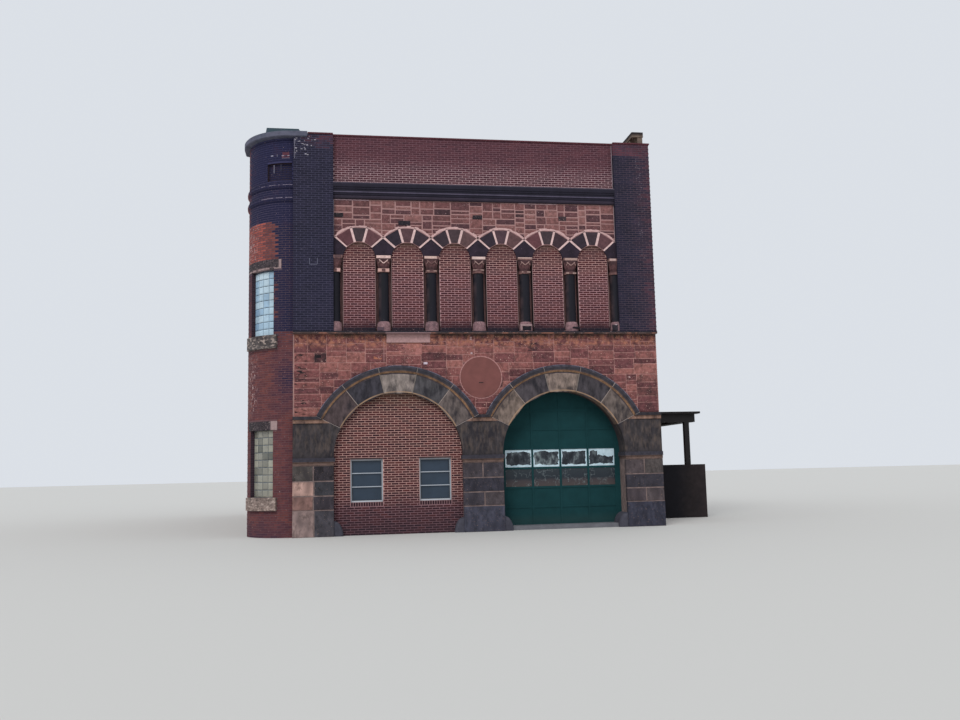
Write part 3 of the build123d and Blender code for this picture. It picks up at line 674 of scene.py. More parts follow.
# %% [markdown]
# The stones themselves are split at random like the ones above. Those that the arches or the round stone
# would hide are left out, and single ones that stand out by their colour are laid over the rest.
# %% Stones of the lower wall
MEDALLION_HEIGHT = 4.553
SANDSTONE_LOWER = ["#60393b", "#6e4345", "#7a4a4a", "#865350", "#9a645d"]
PATCH_STONES = [(-2.45, -1.75, 5.24, 5.56, "#a9706a", 0.0), (-3.2, -2.95, 5.1, 5.24, "#b06f58", 0.0),
                (1.45, 1.75, 5.35, 5.6, "#472f33", 0.0), (-4.9, -4.72, 5.15, 5.25, "#1f191d", 0.0)]


def lower_keep(a, b, low, high):
    """Keeps stones that are not hidden by the arches or the round stone."""
    away = math.hypot((a + b) / 2, (low + high) / 2 - MEDALLION_HEIGHT)
    return clear_of(ARCHES, SPRING, 2.1)(a, b, low, high) and away > 0.3


lower_marks = stains([(-5.38, 4.82, 0.13, 0.10, 0.4), (-5.38, 4.38, 0.14, 0.10, 0.4),
                      (-2.0, 4.99, 0.25, 0.06, 1.0), (5.19, 4.60, 0.18, 0.12, 0.6),
                      (5.22, 4.15, 0.18, 0.12, 0.6), (5.0, 3.66, 0.25, 0.12, 0.4),
                      (-4.81, 5.2, 0.12, 0.07, 1.0)])
lower_spots = random_stones((-5.5, 5.52, 3.44, 5.86), 0.9, (0.15, 0.34), 0.017, lower_marks, lower_keep, 11)
build_blocks("lower_sandstone", [
    set_blocks(STONE, lower_spots, front_plane, 0.006, 0.04, SANDSTONE_LOWER, rough=0.010),
    set_blocks(STONE, PATCH_STONES, front_plane, 0.012, 0.04)], lower_stone)

# %% [markdown]
# Three piers carry the arches. Each is built of big dressed blocks that run right through it, so the joints
# show on its sides too. The blocks are laid as whole boxes a little wider than the pier, and between them
# shows the pier itself, in the colour of its pale joints.
# %% Pier blocks
PIER_ROWS = ((0.755, 1.16), (1.16, 1.58), (1.58, 2.026))
PLINTH_TOP = 0.742
PIER_JOINT = 0.013
FOOT_JOINT = 0.01
PIER_INNER = 4.37
PIER_JOBS = ((-HALF_FRONT, -PIER_INNER, ((-4.95,), (-4.93,), (-4.95,)),
              (("#86665f", "#3d373d"), ("#b8958a", "#39383d"), ("#4c4644", "#353035")),
              (-4.93,), ("#8c7773", "#444147")),
             (-0.6, 0.6, ((0.02,), (), (-0.02,)),
              (("#443f46", "#4c4447"), ("#35333c",), ("#4b4449", "#454046")), (), ("#434350",)),
             (PIER_INNER, HALF_FRONT, ((4.97,), (), (4.94,)),
              (("#4f4549", "#574d4f"), ("#3c3941",), ("#52484a", "#4f4847")), (), ("#383845",)))


def row_of_stones(x0, x1, cuts, webs, low, high, joint):
    """One row of stones through a pier, cut at some places, each stone in its own colour."""
    ends = [x0 - 0.006] + list(cuts) + [x1 + 0.006]
    return [(ends[i] + (joint if i else 0), ends[i + 1] - (joint if i + 1 < len(webs) else 0), low, high,
             web, 0.0) for i, web in enumerate(webs)]


piers, feet = [], []
for x0, x1, row_cuts, row_webs, foot_cuts, foot_webs in PIER_JOBS:
    for (low, high), cuts, webs in zip(PIER_ROWS, row_cuts, row_webs):
        piers += row_of_stones(x0, x1, cuts, webs, low + 0.008, high - 0.018, PIER_JOINT)
    feet += row_of_stones(x0, x1, foot_cuts, foot_webs, 0.0, PLINTH_TOP, FOOT_JOINT)
pier_stone = masonry("dressed_brownstone", stain="#201d24", patch=0.6, grain=0.02, relief=0.006, cloud=0.2,
                     mottle=(0.10, 0.55), streak=(1, 1, 0.6), specks=("#93786b", 0.68))
build_blocks("pier_blocks", [set_blocks(STONE, piers, front_wall(-0.13), 0.010, 0.14),
                             set_blocks(STONE, feet, front_wall(-0.165), 0.008, 0.14)],
             pier_stone)

# %% [markdown]
# The mouldings between the blocks are part of the solids. A ramp over the height paints them: tan where
# rain washes the thin fillets, dark on the bands over them, and streaked on the big stones beside the rings.
# %% Finishes of piers and skewbacks
pier_levels = by_axis(2, 0.0, 2.24, [(0.0, "#7f6d69"), (0.904, "#6d5850"), (0.948, "#3b3840"),
                                     (1.0, "#45424a")], step="CONSTANT")
dress(masonry("brownstone_with_tan_fillets", base=pier_levels, stain="#2b2830", patch=0.35,
              mottle=(0.1, 0.35)), "pier_left", "pier_middle", "pier_right")
skew_levels = by_axis(2, 3.0, 3.45, [(0.0, "#3c3739"), (0.522, "#86685a"), (0.756, "#343035"),
                                     (1.0, "#444043")], step="CONSTANT")
tan_streaks = patches(between(2, 2.3, 3.2, 0.05), 0.12, 0.48, 0.72, (1, 1, 0.3))
dress(masonry("streaked_brownstone", base=skew_levels, stain="#211f27", patch=0.7, mottle=(0.13, 0.5),
              cloud=0.25, streak=(1, 1, 0.5), over=(("#7d6a5d", 0.4, tan_streaks),)), "skewback_stones")
dress(masonry("blue_grey_guard_stone", base="#474650", stain="#2f2e38", patch=0.3, mottle=(0.1, 0.2)),
      "wheel_guards")
print("piers, skewbacks and guard stones are finished")

# %% [markdown]
# Five great stones make each big arch. A ring could be cut into stones by bump alone, but the joints would
# not show at the edge. So each face is laid as a curved block of its own colour, in the arch's map.
# %% Faces of the big arches
SKEW = 63.4
STONE_TURN = 2 * SKEW / 5
RING_METRES_PER_DEGREE = 0.038
RING_COLOURS = {-1: ("#504344", "#3a373e", "#8a7e78", "#4c494c", "#655a57"),
                1: ("#7b6b62", "#4a4448", "#86756c", "#433e42", "#6a5e59")}


def washed_edge(low, high):
    """One on a thin band between two radii of a big arch."""
    def rule(tree, place):
        reach = arch_reach(tree, place)
        rise = node(tree, "MapRange", (reach, low - 0.006, low + 0.006, 0.0, 1.0))
        fall = node(tree, "MapRange", (reach, high - 0.006, high + 0.006, 1.0, 0.0))
        band = node(tree, "Math", (rise, fall), operation="MULTIPLY")
        return node(tree, "Math", (band, clouds(tree, place, 0.5, 3.0)), operation="MULTIPLY")
    return rule


ring_stone = masonry("tooled_arch_stone", stain="#211f26", patch=0.8, grain=0.02, relief=0.006,
                     mottle=(0.12, 0.5), streak=(1, 1, 0.45), cloud=0.25,
                     over=(("#b08e70", 1.2, washed_edge(1.88, 1.915)),))
batches = []
for side, webs in RING_COLOURS.items():
    spots = [(-SKEW + i * STONE_TURN + 0.2, -SKEW + (i + 1) * STONE_TURN - 0.2, 1.89, 2.452, web, 0.0)
             for i, web in enumerate(webs)]
    batches.append(set_blocks(STONE, spots, arch_wall(side * ARCH_X, SPRING), 0.096, 0.03,
                              scale=RING_METRES_PER_DEGREE, rough=0.004))
build_blocks("arch_faces", batches, ring_stone)
dress(masonry("arch_stone_sides", base="#4c4347", stain="#2b2830", patch=0.35, mottle=(0.12, 0.3),
              over=(("#b08e70", 0.8, washed_edge(1.88, 1.9)),)), "arch_ring_left", "arch_ring_right")

# %% [markdown]
# Pale pointing fills the joints of the rings and runs on over the hood mould, and a thin grey lip of mortar
# closes the hood against the wall. Each is a thin strip laid over the stone, turned round the arch.
# %% Pointing of the big arches
POINTING_STRIPS = ((0.011, 1.885, 2.47, 0.104), (0.010, 2.505, 2.60, 0.156), (0.010, 2.60, 2.668, 0.136))
JOINT_COLOURS = ("#b9aca6", "#9c8d85", "#80766f", "#80766f", "#9c8d85", "#b9aca6")
strips = []
for side in (-1, 1):
    for i, web in enumerate(JOINT_COLOURS):
        wall = turned_wall(side * ARCH_X, SPRING, -SKEW + i * STONE_TURN)
        for half, low, high, proud in POINTING_STRIPS:
            strips.append(set_blocks(BRICK, [(-half, half, low, high, web, 0.0)], wall, proud, 0.03))
    rim = [(a, a + 4.2, 2.656, 2.672, "#77788a" if k % 3 else "#4b4a55", 0.0)
           for k, a in enumerate(np.linspace(-SKEW + 1, SKEW - 5.2, 29))]
    strips.append(set_blocks(BRICK, rim, arch_wall(side * ARCH_X, SPRING), 0.134, 0.02, scale=0.046))
pointing = masonry("pale_pointing", stain="#6b5f62", patch=0.15, mottle=(0.06, 0.18))
build_blocks("arch_pointing", strips, pointing)

# %% [markdown]
# The hood mould is tan where rain has washed its splay and black above that, so its paint follows the
# distance from the arch's centre. The round stone between the arches is rubbed smooth, in a ring of mortar.
# %% Hood moulds and round stone
def hood_paint(tree, place):
    """Tan on the inner splay of the hood, black on its flat, and a grey lip."""
    reach = node(tree, "Math", (clouds(tree, place, 0.3, 3.0), 0.02, arch_reach(tree, place)),
                 operation="MULTIPLY_ADD")
    part = node(tree, "MapRange", (reach, 2.46, 2.68, 0.0, 1.0))
    return node(tree, "ValToRGB", (part,), stops=[
        (0.0, "#5b4a44"), (0.10, "#a5805f"), (0.24, "#8f6c55"), (0.33, "#3c383c"), (0.62, "#353238"),
        (0.72, "#45424a"), (1.0, "#403c44")])


dress(masonry("weathered_hood_stone", base=hood_paint, stain="#2c2b33", patch=0.45, mottle=(0.1, 0.45)),
      "hood_moulds")
ring = [(a, a + 9.6, 0.617, 0.650, "#b48480", 0.0) for a in np.linspace(0, 350, 36)]
slot_mark = [(-0.07, 0.07, 4.378, 4.406, "#241c20", 0.0)]
build_blocks("medallion_pointing", [
    set_blocks(BRICK, ring, arch_wall(0, MEDALLION_HEIGHT), 0.018, 0.02, scale=0.011),
    set_blocks(BRICK, slot_mark, front_plane, 0.032, 0.01)], pointing)
dress(masonry("rubbed_red_sandstone", base="#7a4c48", stain="#5f3b3a", patch=0.25, grain=0.02,
              relief=0.003, mottle=(0.25, 0.12)), "medallion")

# %% [markdown]
# The small arches have three stones each, every one of its own colour, in very wide joints of pink mortar.
# Each face stone is laid in the map of its arch, and the pointing is laid over it as short curved strips.
# The joints were smeared on by hand, so each one has its own width.
# %% Arcade arches
ARCADE_STONES = (("#603d42", "#43373b", "#644246"), ("#302832", "#593f43", "#3c2f37"),
                 ("#3b2f36", "#48393d", "#604748"), ("#342a34", "#523d44", "#5f4445"),
                 ("#664044", "#45383c", "#402f35"), ("#362b34", "#41343a", "#604145"))
ANGLES = (-48.6, -15.0, 15.0, 48.6)
JOINT_WIDTHS = (0.052, 0.066, 0.066, 0.052)
dice = random.Random(21)
faces_laid = []
lines_laid = []
for x, webs in zip(BAYS, ARCADE_STONES):
    wall = arch_wall(x, ARCADE_SPRING)
    spots = [(a + 2.6, b - 2.6, 0.505, 0.925, web, 0.0) for a, b, web in zip(ANGLES, ANGLES[1:], webs)]
    faces_laid.append(set_blocks(STONE, spots, wall, 0.034, 0.02, scale=0.0125, rough=0.006))
    for angle, wide in zip(ANGLES, JOINT_WIDTHS):
        half = wide / 2 * dice.uniform(0.8, 1.2)
        lines_laid.append(set_blocks(BRICK, [(-half, half, 0.485, 0.95, "#dcbab6", 0.0)],
                                     turned_wall(x, ARCADE_SPRING, angle), 0.036, 0.02))
    arcs = [(a, a + 7.2, 0.925, 0.925 + 0.065 * dice.uniform(0.7, 1.3), "#cba5a2", 0.0)
            for a in np.linspace(-49, 41.8, 14)]
    lines_laid.append(set_blocks(BRICK, arcs, wall, 0.036, 0.03, scale=0.0163))
small_stone = masonry("dark_rock_faced_stone", stain="#25222a", patch=0.2, grain=0.04, relief=0.015,
                      mottle=(0.08, 0.25))
build_blocks("arcade_faces", faces_laid, small_stone)
build_blocks("arcade_pointing", lines_laid, pointing)
dress(masonry("pink_arch_mortar", base="#a8807f", stain="#5f4449", patch=0.2), "arcade_voussoirs")
dress(masonry("black_springer_stone", base="#2e2430", stain="#1f1a24", patch=0.3, grain=0.04,
              relief=0.015, specks=("#6b5a5c", 0.72)), "springer_blocks")

# %% [markdown]
# The columns are dark shafts between pink sandstone bases and carved capitals. Each shaft is brown on its
# left flank. The columns stand at equal distances, so one rule finds that flank on all of them.
# %% Finishes of the columns
SHAFT_RADIUS = 0.155


def shaft_left(tree, place):
    """The left flank of each shaft, found by the distance between columns."""
    x = node(tree, "SeparateXYZ", (place,), 0)
    shifted = node(tree, "Math", (x, 7 * BAY + SHAFT_RADIUS), operation="ADD")
    turn = node(tree, "Math", (shifted, BAY), operation="DIVIDE")
    turn = node(tree, "Math", (turn,), operation="FRACT")
    return node(tree, "MapRange", (turn, 0.0, 0.07, 1.0, 0.0))


dress(masonry("dark_column_stone", base="#11101b", stain="#0c0c14", patch=0.3, roughness=0.7,
              mottle=(0.2, 0.3), streak=(1, 1, 0.2), relief=0.002,
              over=(("#5a4547", 0.7, patches(shaft_left, 0.4, 0.4, 0.6)),), specks=("#4b4a57", 0.75)),
      "arcade_shafts")
dress(masonry("pink_base_stone", base="#8a6a6d", stain="#4a3c45", patch=0.5, grain=0.03, relief=0.02,
              mottle=(0.09, 0.4), specks=("#b39a9a", 0.66)), "column_bases")
# The darker bands at the foot of the bell and just under the slab are painted shade.
capital_levels_and_shade = by_axis(2, 7.73, 8.23, [(0.0, "#7d5b57"), (0.2, "#4f3638"), (0.5, "#654546"),
                                         (0.8, "#4d3639"), (0.86, "#8a6863")], size=0.08, wave=0.05)
dress(masonry("carved_sandstone", base=capital_levels_and_shade, stain="#2f2529", patch=0.4, grain=0.03,
              relief=0.012, mottle=(0.06, 0.45)), "column_capitals")
print("columns at", [round(x, 2) for x in COLUMNS])

# %% [markdown]
# The slab on each capital is pale where the stone has flaked, and a carved V stands on the face of each
# bell. Three bases at the right are broken, with thin shells over holes whose darkness is painted shade.
# Each line of these lists is a column, a left and right end from its axis, a bottom and top, and a colour.
# %% Carving and damage of the columns
SLABS = ((0, -0.02, 0.20, 8.15, 8.22, "#5d4648"), (1, -0.21, 0.21, 8.14, 8.225, "#e0beb6"),
         (1, -0.1, 0.08, 8.165, 8.185, "#5a4044"), (2, -0.21, 0.16, 8.145, 8.222, "#d2b2a8"),
         (3, -0.2, 0.2, 8.142, 8.225, "#dfc2ba"), (4, -0.22, 0.22, 8.188, 8.222, "#c9aaa2"),
         (5, -0.19, 0.2, 8.15, 8.222, "#b09288"), (6, -0.2, 0.0, 8.15, 8.222, "#c4a59e"))
COLLARS = ((0, 0.0, 0.16, 7.73, 7.84, "#c9a19a"), (1, -0.17, 0.17, 7.74, 7.84, "#c9a096"),
           (2, -0.15, 0.16, 7.76, 7.80, "#a08078"), (3, -0.17, 0.16, 7.81, 7.84, "#b0918a"),
           (4, -0.1, 0.17, 7.76, 7.80, "#a58880"), (5, -0.15, 0.17, 7.74, 7.78, "#b4968c"))
# The near black pieces are painted shade standing in for the holes under the shells.
DAMAGE_AND_HOLE_SHADE = ((4, -0.20, 0.16, 6.10, 6.15, "#a58a8a"), (4, -0.12, 0.12, 5.97, 6.09, "#1d1a21"),
          (4, -0.20, -0.14, 5.95, 6.10, "#9c8080"), (5, -0.02, 0.20, 6.02, 6.08, "#211c22"),
          (6, -0.19, -0.02, 5.95, 6.14, "#221f27"), (6, -0.10, -0.04, 6.12, 6.16, "#b6a3a6"),
          (1, -0.20, 0.0, 5.95, 6.06, "#5a4750"))
V_COLOURS = ("#e0beb6", "#7a5a58", "#b08e88", "#a5857f", "#a5857f")
slabs, collars, damage = [[(COLUMNS[i] + a, COLUMNS[i] + b, low, high, web, 0.0)
                           for i, a, b, low, high, web in rows] for rows in (SLABS, COLLARS, DAMAGE_AND_HOLE_SHADE)]
carving = [set_blocks(STONE, slabs, front_wall(-0.112), 0.006, 0.03),
           set_blocks(STONE, collars, front_wall(-0.06), 0.006, 0.03)]
for x, web in zip(COLUMNS[1:6], V_COLOURS):
    for side in (-1, 1):
        carving.append(set_blocks(BRICK, [(-0.013, 0.013, 0.0, 0.17, web, 0.0)],
                                  turned_wall(x, 7.99, side * 50), 0.108, 0.03))
        carving.append(set_blocks(BRICK, [(-0.01, 0.01, 0.0, 0.09, "#95756f", 0.0)],
                                  turned_wall(x + side * 0.15, 7.99, side * -30), 0.110, 0.03))
build_blocks("capital_carving", carving, pointing)
build_blocks("broken_bases", [set_blocks(STONE, damage, front_wall(-0.105), 0.006, 0.04)],
             pointing)

# %% [markdown]
# The string course is nearly black, with two lines where its mouldings catch the light. The ledge under the
# arcade is dark too, and broken along its edge, with a strip of painted shadow along its top. Both are
# moulded in the solids, so they only need paint by height.
# %% String course and ledge
BAND_BOTTOM, PARAPET_FOOT = 9.96, 10.457
band_levels = by_axis(2, BAND_BOTTOM, PARAPET_FOOT, [
    (0.0, "#1e141e"), (0.06, "#2f2834"), (0.16, "#3d3543"), (0.22, "#262230"), (0.40, "#575062"),
    (0.46, "#23202d"), (0.90, "#2c2936"), (0.97, "#665c69")], step="CONSTANT")
dress(masonry("black_moulded_stone", base=band_levels, stain="#1c1b26", patch=0.15, mottle=(0.3, 0.2)),
      "string_course")
bare_patches = patches(between(0, -9, 9), 0.22, 0.52, 0.62)
# The dark strip along the top of the ledge is painted shadow.
dress(masonry("mottled_ledge_stone", base="#55433f", stain="#262427", patch=0.9, mottle=(0.12, 0.4),
              over=(("#9a6856", 0.8, bare_patches), ("#8d7274", 0.8, between(0, -2.84, -1.5)),
                    ("#26232b", 1.0, between(2, 5.892, 6.0, 0.005))), specks=("#b59c98", 0.68)),
      "arcade_ledge")
print("string course from", BAND_BOTTOM, "to", PARAPET_FOOT)

# %% [markdown]
# The parapet is red brown brick with thin joints, whiter in its lower rows, which the mortar bed paints by
# height.
# %% Parapet
WALL_TOP = 11.93
PARAPET_RED = ["#482831", "#512d35", "#5a333a"]
parapet_brick = masonry("red_brown_brick", stain="#2b2430", patch=0.12, mottle=(0.12, 0.14),
                        specks=("#8f7276", 0.71))
parapet_rows = brick_rows(PARAPET_FOOT, WALL_TOP, lambda z0, z1: [(-4.36, 4.36)],
                          lambda s, z: 0.1 * random.random())
build_blocks("parapet_bricks", [set_blocks(BRICK, parapet_rows, front_plane, 0.004, 0.018, PARAPET_RED)],
             parapet_brick)
parapet_mortar = by_axis(2, PARAPET_FOOT, WALL_TOP, [(0.0, "#caaaac"), (0.3, "#b39499"),
                                                     (0.55, "#86636b"), (1.0, "#79565f")],
                         size=0.6, wave=0.3)
dress(mortar_bed("thin_pink_mortar", parapet_mortar, ("#5c2d31", "#6b3638", "#8a5f60"), FRONT),
      "front_parapet")

# %% [markdown]
# The pilasters on both sides are the same brick black with soot. A pilaster stands proud of the wall, so its
# bricks are deep and show their ends too. Small flecks are old mortar and salt, strewn by dice.
# %% Pilasters
PILASTER_EDGE = 4.352
CORNICE_FOOT = 11.81
SOOT_BLACK = ["#1b1a2c", "#242235", "#332839", "#5a343f"]


def left_pilaster_spans(z0, z1):
    """The pilaster stops short under the copper cornice."""
    return [(-HALF_FRONT if z1 < CORNICE_FOOT else -5.121, -PILASTER_EDGE)]


def left_tone(s, z):
    """Blue black, and as red as the parapet at the top inner corner."""
    brown = max(0.0, min(1.0, (z - 11.3 - 0.2 * random.random()) / 0.15))
    brown *= max(0.0, min(1.0, (s + 5.4) / 0.3))
    return 0.4 * random.random() + 0.6 * brown


def right_tone(s, z):
    """Blue black, with redder top rows and a redder right edge."""
    red = max(0.7 * (z > 11.5), 0.5 * max(0.0, (s - 4.8) / 0.7))
    return min(1.0, 0.1 + 0.4 * random.random() + red)


left_rows = brick_rows(LEDGE_TOP, WALL_TOP, left_pilaster_spans, lambda s, z: 0.1, first=-HALF_FRONT,
                       tone_at=left_tone)
right_rows = brick_rows(LEDGE_TOP, WALL_TOP, lambda z0, z1: [(PILASTER_EDGE, 5.538)], lambda s, z: 0.1,
                        first=PILASTER_EDGE, tone_at=right_tone)
marks = [(-5.06, -5.045, 7.92, 8.12, "#77778a", 0.0), (-4.835, -4.82, 7.92, 8.12, "#77778a", 0.0),
         (-5.06, -4.82, 7.92, 7.935, "#77778a", 0.0)]
for k in range(26):
    x = -5.5 + 0.75 * dice.random() ** 1.5
    z = 11.25 + 0.6 * dice.random()
    marks.append((x, x + dice.uniform(0.02, 0.07), z, z + 0.015 + 0.02 * dice.random(), "#a8a2ac", 0.0))
    marks.append((-5.50, -5.48, 11.15 + 0.024 * k, 11.165 + 0.024 * k, "#9d98a6", 0.0))
for k in range(40):
    x = 5.05 + 0.2 * dice.random()
    z = 8.2 + 3.3 * dice.random()
    marks.append((x, x + dice.uniform(0.02, 0.05), z, z + 0.02, "#6f646e", 0.0))
soot_brick = masonry("soot_black_brick", stain="#171624", patch=0.2, mottle=(0.3, 0.25),
                     specks=("#5b5662", 0.70))
build_blocks("pilaster_bricks", [
    set_blocks(BRICK, left_rows + right_rows, front_wall(-0.12), 0.004, 0.123, SOOT_BLACK),
    set_blocks(BRICK, marks, front_wall(-0.12), 0.006, 0.01)], soot_brick)
pilaster_mortar = by_axis(0, -5.5, 5.5, [(0.0, "#4d4a60"), (0.5, "#4d4a60"), (0.9, "#4b4250"),
                                         (1.0, "#66525a")])
dress(mortar_bed("grey_mortar", pilaster_mortar, ("#262532", "#2e2c39", "#46434f"), FRONT), "pilasters")

# %% [markdown]
# Thin lines of pale mortar close the pilasters against the walls, and a few bright chips and one long pink
# slab stand out in the lower wall.
# %% Pointing of the edges
EDGE_LINES = [(-4.352, -4.338, 5.95, 9.95, "#8b8492"), (4.338, 4.352, 5.95, 9.95, "#94868c"),
              (4.335, 4.355, 10.46, 11.9, "#9c8c94"), (-5.528, -5.512, 3.45, 5.85, "#b5928c"),
              (-1.72, -1.60, 4.95, 5.02, "#c9b9c4"), (-0.30, -0.24, 5.26, 5.31, "#c9aeb0"),
              (-0.31, -0.25, 5.68, 5.78, "#b89a98"), (-2.90, -2.88, 5.00, 5.62, "#a9807c"),
              (4.60, 4.66, 4.5, 4.56, "#c0a09c"), (2.12, 2.14, 5.45, 5.86, "#a9807c"),
              (-4.34, -3.30, 9.928, 9.957, "#bb9ca4"), (1.30, 2.50, 9.928, 9.957, "#b99a9e")]
pink_slab = (-2.81, -1.51, 5.60, 5.86, "#b08c8a", 0.0)
build_blocks("edge_pointing", [
    set_blocks(BRICK, [(*line, 0.0) for line in EDGE_LINES], front_plane, 0.014, 0.02),
    set_blocks(STONE, [pink_slab], front_plane, 0.05, 0.06)], pointing)

# %% [markdown]
# The round corner is laid row by row like the rest, with the bricks bent to its radius. Soot has blackened
# its top and the strip beside the pilaster, and at the far left the brick is bare and chipped. These rules
# say where, by the distance along the arc and the height.
# %% Places on the round corner
ARC = CORNER_RADIUS * math.pi / 180
HOLES = ((24, 64, 1.14, 3.08), (18.7, 69.3, 3.08, 3.335), (19, 69, 0.77, 1.14), (24, 64, 5.85, 7.83),
         (14.3, 73.7, 7.83, 8.11), (19, 69, 5.46, 5.85), (1.6, 33.4, 10.5, 11.05))
ROLLS = ((9.84, 10.06), (10.24, 10.46))


def corner_spans(z0, z1):
    """The free lengths of one row round the corner."""
    cuts = [(-b * ARC, -a * ARC) for a, b, low, high in HOLES if z1 > low + 0.004 and z0 < high - 0.004]
    return less([(-90 * ARC, 0.0)], cuts)


def corner_soot(s, z):
    """Black at the top and beside the pilaster, clean brick at the left and low down."""
    edge = 0.07 * random.random()
    if z > 9.25:
        return 1.05 - 0.9 * max(0.0, min(1.0, (edge - 1.65 - s) / 0.5))
    if z > 8.11:
        return 1.05 if s > -0.45 - 2 * edge else 0.04
    if z > 5.95:
        return 1.0 if s > -0.46 - 2 * edge else 0.35
    if z > 3.335:
        return 0.8 * max(0.0, min(1.0, (s + 0.75) / 0.5)) * max(0.0, 1 - abs(z - 4.5) / 1.1) + 0.05 + edge
    return 0.12 + 0.3 * max(0.0, 1 - z / 0.5) + edge


def corner_tone(s, z):
    """Bright orange red at the left of the upper storey, darker elsewhere."""
    bright = 0.55 if s < -0.95 and z > 8.0 else 0.2 if z > 8.0 else 0.0
    return min(1.0, bright + 0.45 * random.random())


def rolled_corner(s, d, z):
    """The corner's map with its two rolls of rounded brick added."""
    out = np.zeros_like(z)
    for low, high in ROLLS:
        place = (z - (low + high) / 2) / ((high - low) / 2)
        out = np.maximum(out, 0.05 * np.sqrt(np.clip(1 - place * place, 0, 1)))
    return corner_wall(s, d + out, z)


print("the corner is", round(90 * ARC, 3), "m along its arc")

# %% [markdown]
# The rows, the bricks in the sunk panel under the cornice, a few bright marks, and broken pale lines of
# painted highlight along the middle of each roll make one piece. The mortar bed paints the sides of the
# openings and of the panel in dark brick courses, which are painted shade, with soot at the top.
# %% Bricks of the round corner
CORNER_RED = ["#5b3336", "#6d3d3a", "#86483f", "#a8574a"]
CORNER_MARKS = [(-0.60, -0.58, 10.75, 11.0, "#7d7c8c"), (-0.38, -0.36, 10.8, 11.0, "#3f3e4c"),
                (-0.35, -0.12, 11.21, 11.26, "#5c3440"), (-0.33, -0.12, 11.28, 11.38, "#5c3440"),
                (-0.35, -0.11, 11.262, 11.278, "#c0b2bc"), (-0.35, -0.11, 11.19, 11.205, "#8b7f8a"),
                (-0.70, -0.62, 11.27, 11.31, "#8f8b9c"), (-0.5, -0.48, 11.25, 11.33, "#6d6a7c")]
chipped_levels = joined("MAXIMUM", between(2, 8.1, 9.3), between(2, 3.6, 5.2, 0.2))
chipped_left = joined("MULTIPLY", between(0, -7.0, -6.60, 0.08), chipped_levels)
corner_brick = masonry("orange_red_brick", stain="#1c1c3a", patch=0.12, mottle=(0.07, 0.25),
                       over=(("#c0a29f", 0.9, patches(chipped_left, 0.05, 0.56, 0.60, (1, 1, 0.5))),),
                       specks=("#a58d8d", 0.72))
corner_rows = brick_rows(0.0, CORNICE_FOOT, corner_spans, corner_soot, tone_at=corner_tone)
panel_rows = brick_rows(10.5, 11.05, lambda z0, z1: [(-33.4 * ARC, -1.6 * ARC)], lambda s, z: 1.0)
# The broken pale lines along the middle of each roll are painted highlights.
roll_highlights = [(-1.0 + 0.07 * k, -0.935 + 0.07 * k, low + 0.008 * dice.random(), low + 0.02, "#8d8294", 0.0)
              for low in (9.955, 10.345) for k in range(14) if dice.random() < 0.8]
build_blocks("corner_bricks", [
    set_blocks(BRICK, corner_rows, rolled_corner, 0.004, 0.02, CORNER_RED),
    set_blocks(BRICK, panel_rows, corner_wall, -0.083, 0.02, CORNER_RED),
    set_blocks(BRICK, [(*mark, 0.0) for mark in CORNER_MARKS], corner_wall, 0.006, 0.012),
    set_blocks(BRICK, roll_highlights, rolled_corner, 0.010, 0.02)], corner_brick)
corner_mortar = by_axis(2, 0.0, CORNICE_FOOT, [
    (0.0, "#5f464a"), (0.45, "#6f4e50"), (0.5, "#4f4350"), (0.68, "#544651"), (0.70, "#5d4a54"),
    (0.77, "#544551"), (0.785, "#474058"), (0.88, "#464158"), (0.9, "#383656"), (1.0, "#383756")])
# The dark brick courses on the sides of the openings and of the panel are painted shade, with soot at the
# top.
dress(mortar_bed("corner_mortar", corner_mortar, ("#2f222b", "#382830", "#463b45"), "round"),
      "corner_wall")

# %% [markdown]
# Lintels and sills are rock-faced: the mason left the front as the hammer broke it. The solids are plain
# blocks, so a coarse pattern paints the broken face, with painted light on each facet and painted shade in
# each hollow. On the corner the sills are paler, and the lintels have flaked along an edge and at one end.
# %% Lintels and sills
dress(masonry("rock_faced_stone", base="#504649", stain="#211f28", patch=0.7, grain=0.06, relief=0.05,
              mottle=(0.07, 0.7), specks=("#a89690", 0.60)), "side_lintels", "side_sills")
sill_levels = by_axis(2, 0.7, 5.9, [(0.0, "#86746c"), (0.5, "#57504f")])
corner_height = between(2, 0.0, 9.0)
# Pale patches are painted light where a facet faces out, and dark ones are painted shade in each hollow.
painted_lit_facets = ("#c2aea4", 0.7, patches(corner_height, 0.14, 0.50, 0.60, (1, 1, 2)))
painted_shaded_hollows = ("#201c20", 0.8, patches(corner_height, 0.09, 0.58, 0.66, (1, 1, 2)))
dress(masonry("rock_faced_sill", base=sill_levels, stain="#2b2729", patch=0.5, grain=0.06, relief=0.05,
              mottle=(0.1, 0.5), over=(painted_lit_facets, painted_shaded_hollows)), "corner_sills")
lower_flake = joined("MULTIPLY", between(0, -6.17, -5.9), between(2, 3.0, 3.4))
upper_flake = joined("MULTIPLY", between(0, -5.95, -5.8), between(2, 7.8, 8.2))
edge_flakes = patches(between(2, 7.80, 7.875), 0.12, 0.40, 0.50)
flaked = joined("MAXIMUM", lower_flake, joined("MAXIMUM", upper_flake, edge_flakes))
dress(masonry("rock_faced_lintel", base="#3f373b", stain="#1f1c22", patch=0.6, grain=0.06, relief=0.05,
              mottle=(0.07, 0.6), over=(("#ac9290", 0.9, flaked),), specks=("#8d7a78", 0.64)),
      "corner_lintels")
print("lintels and sills are finished")

# %% [markdown]
# The corner windows were closed with glass blocks. One block is modelled with its pillowed face and copied
# to four columns and nine rows, and the panel behind shows as the dark joints between the blocks. Pressed
# glass is smooth but wavy, so its roughness is low and its gloss high.
# %% Glass blocks
BLOCK_TURN = 9.9
BLOCK_HEIGHT = 0.2155


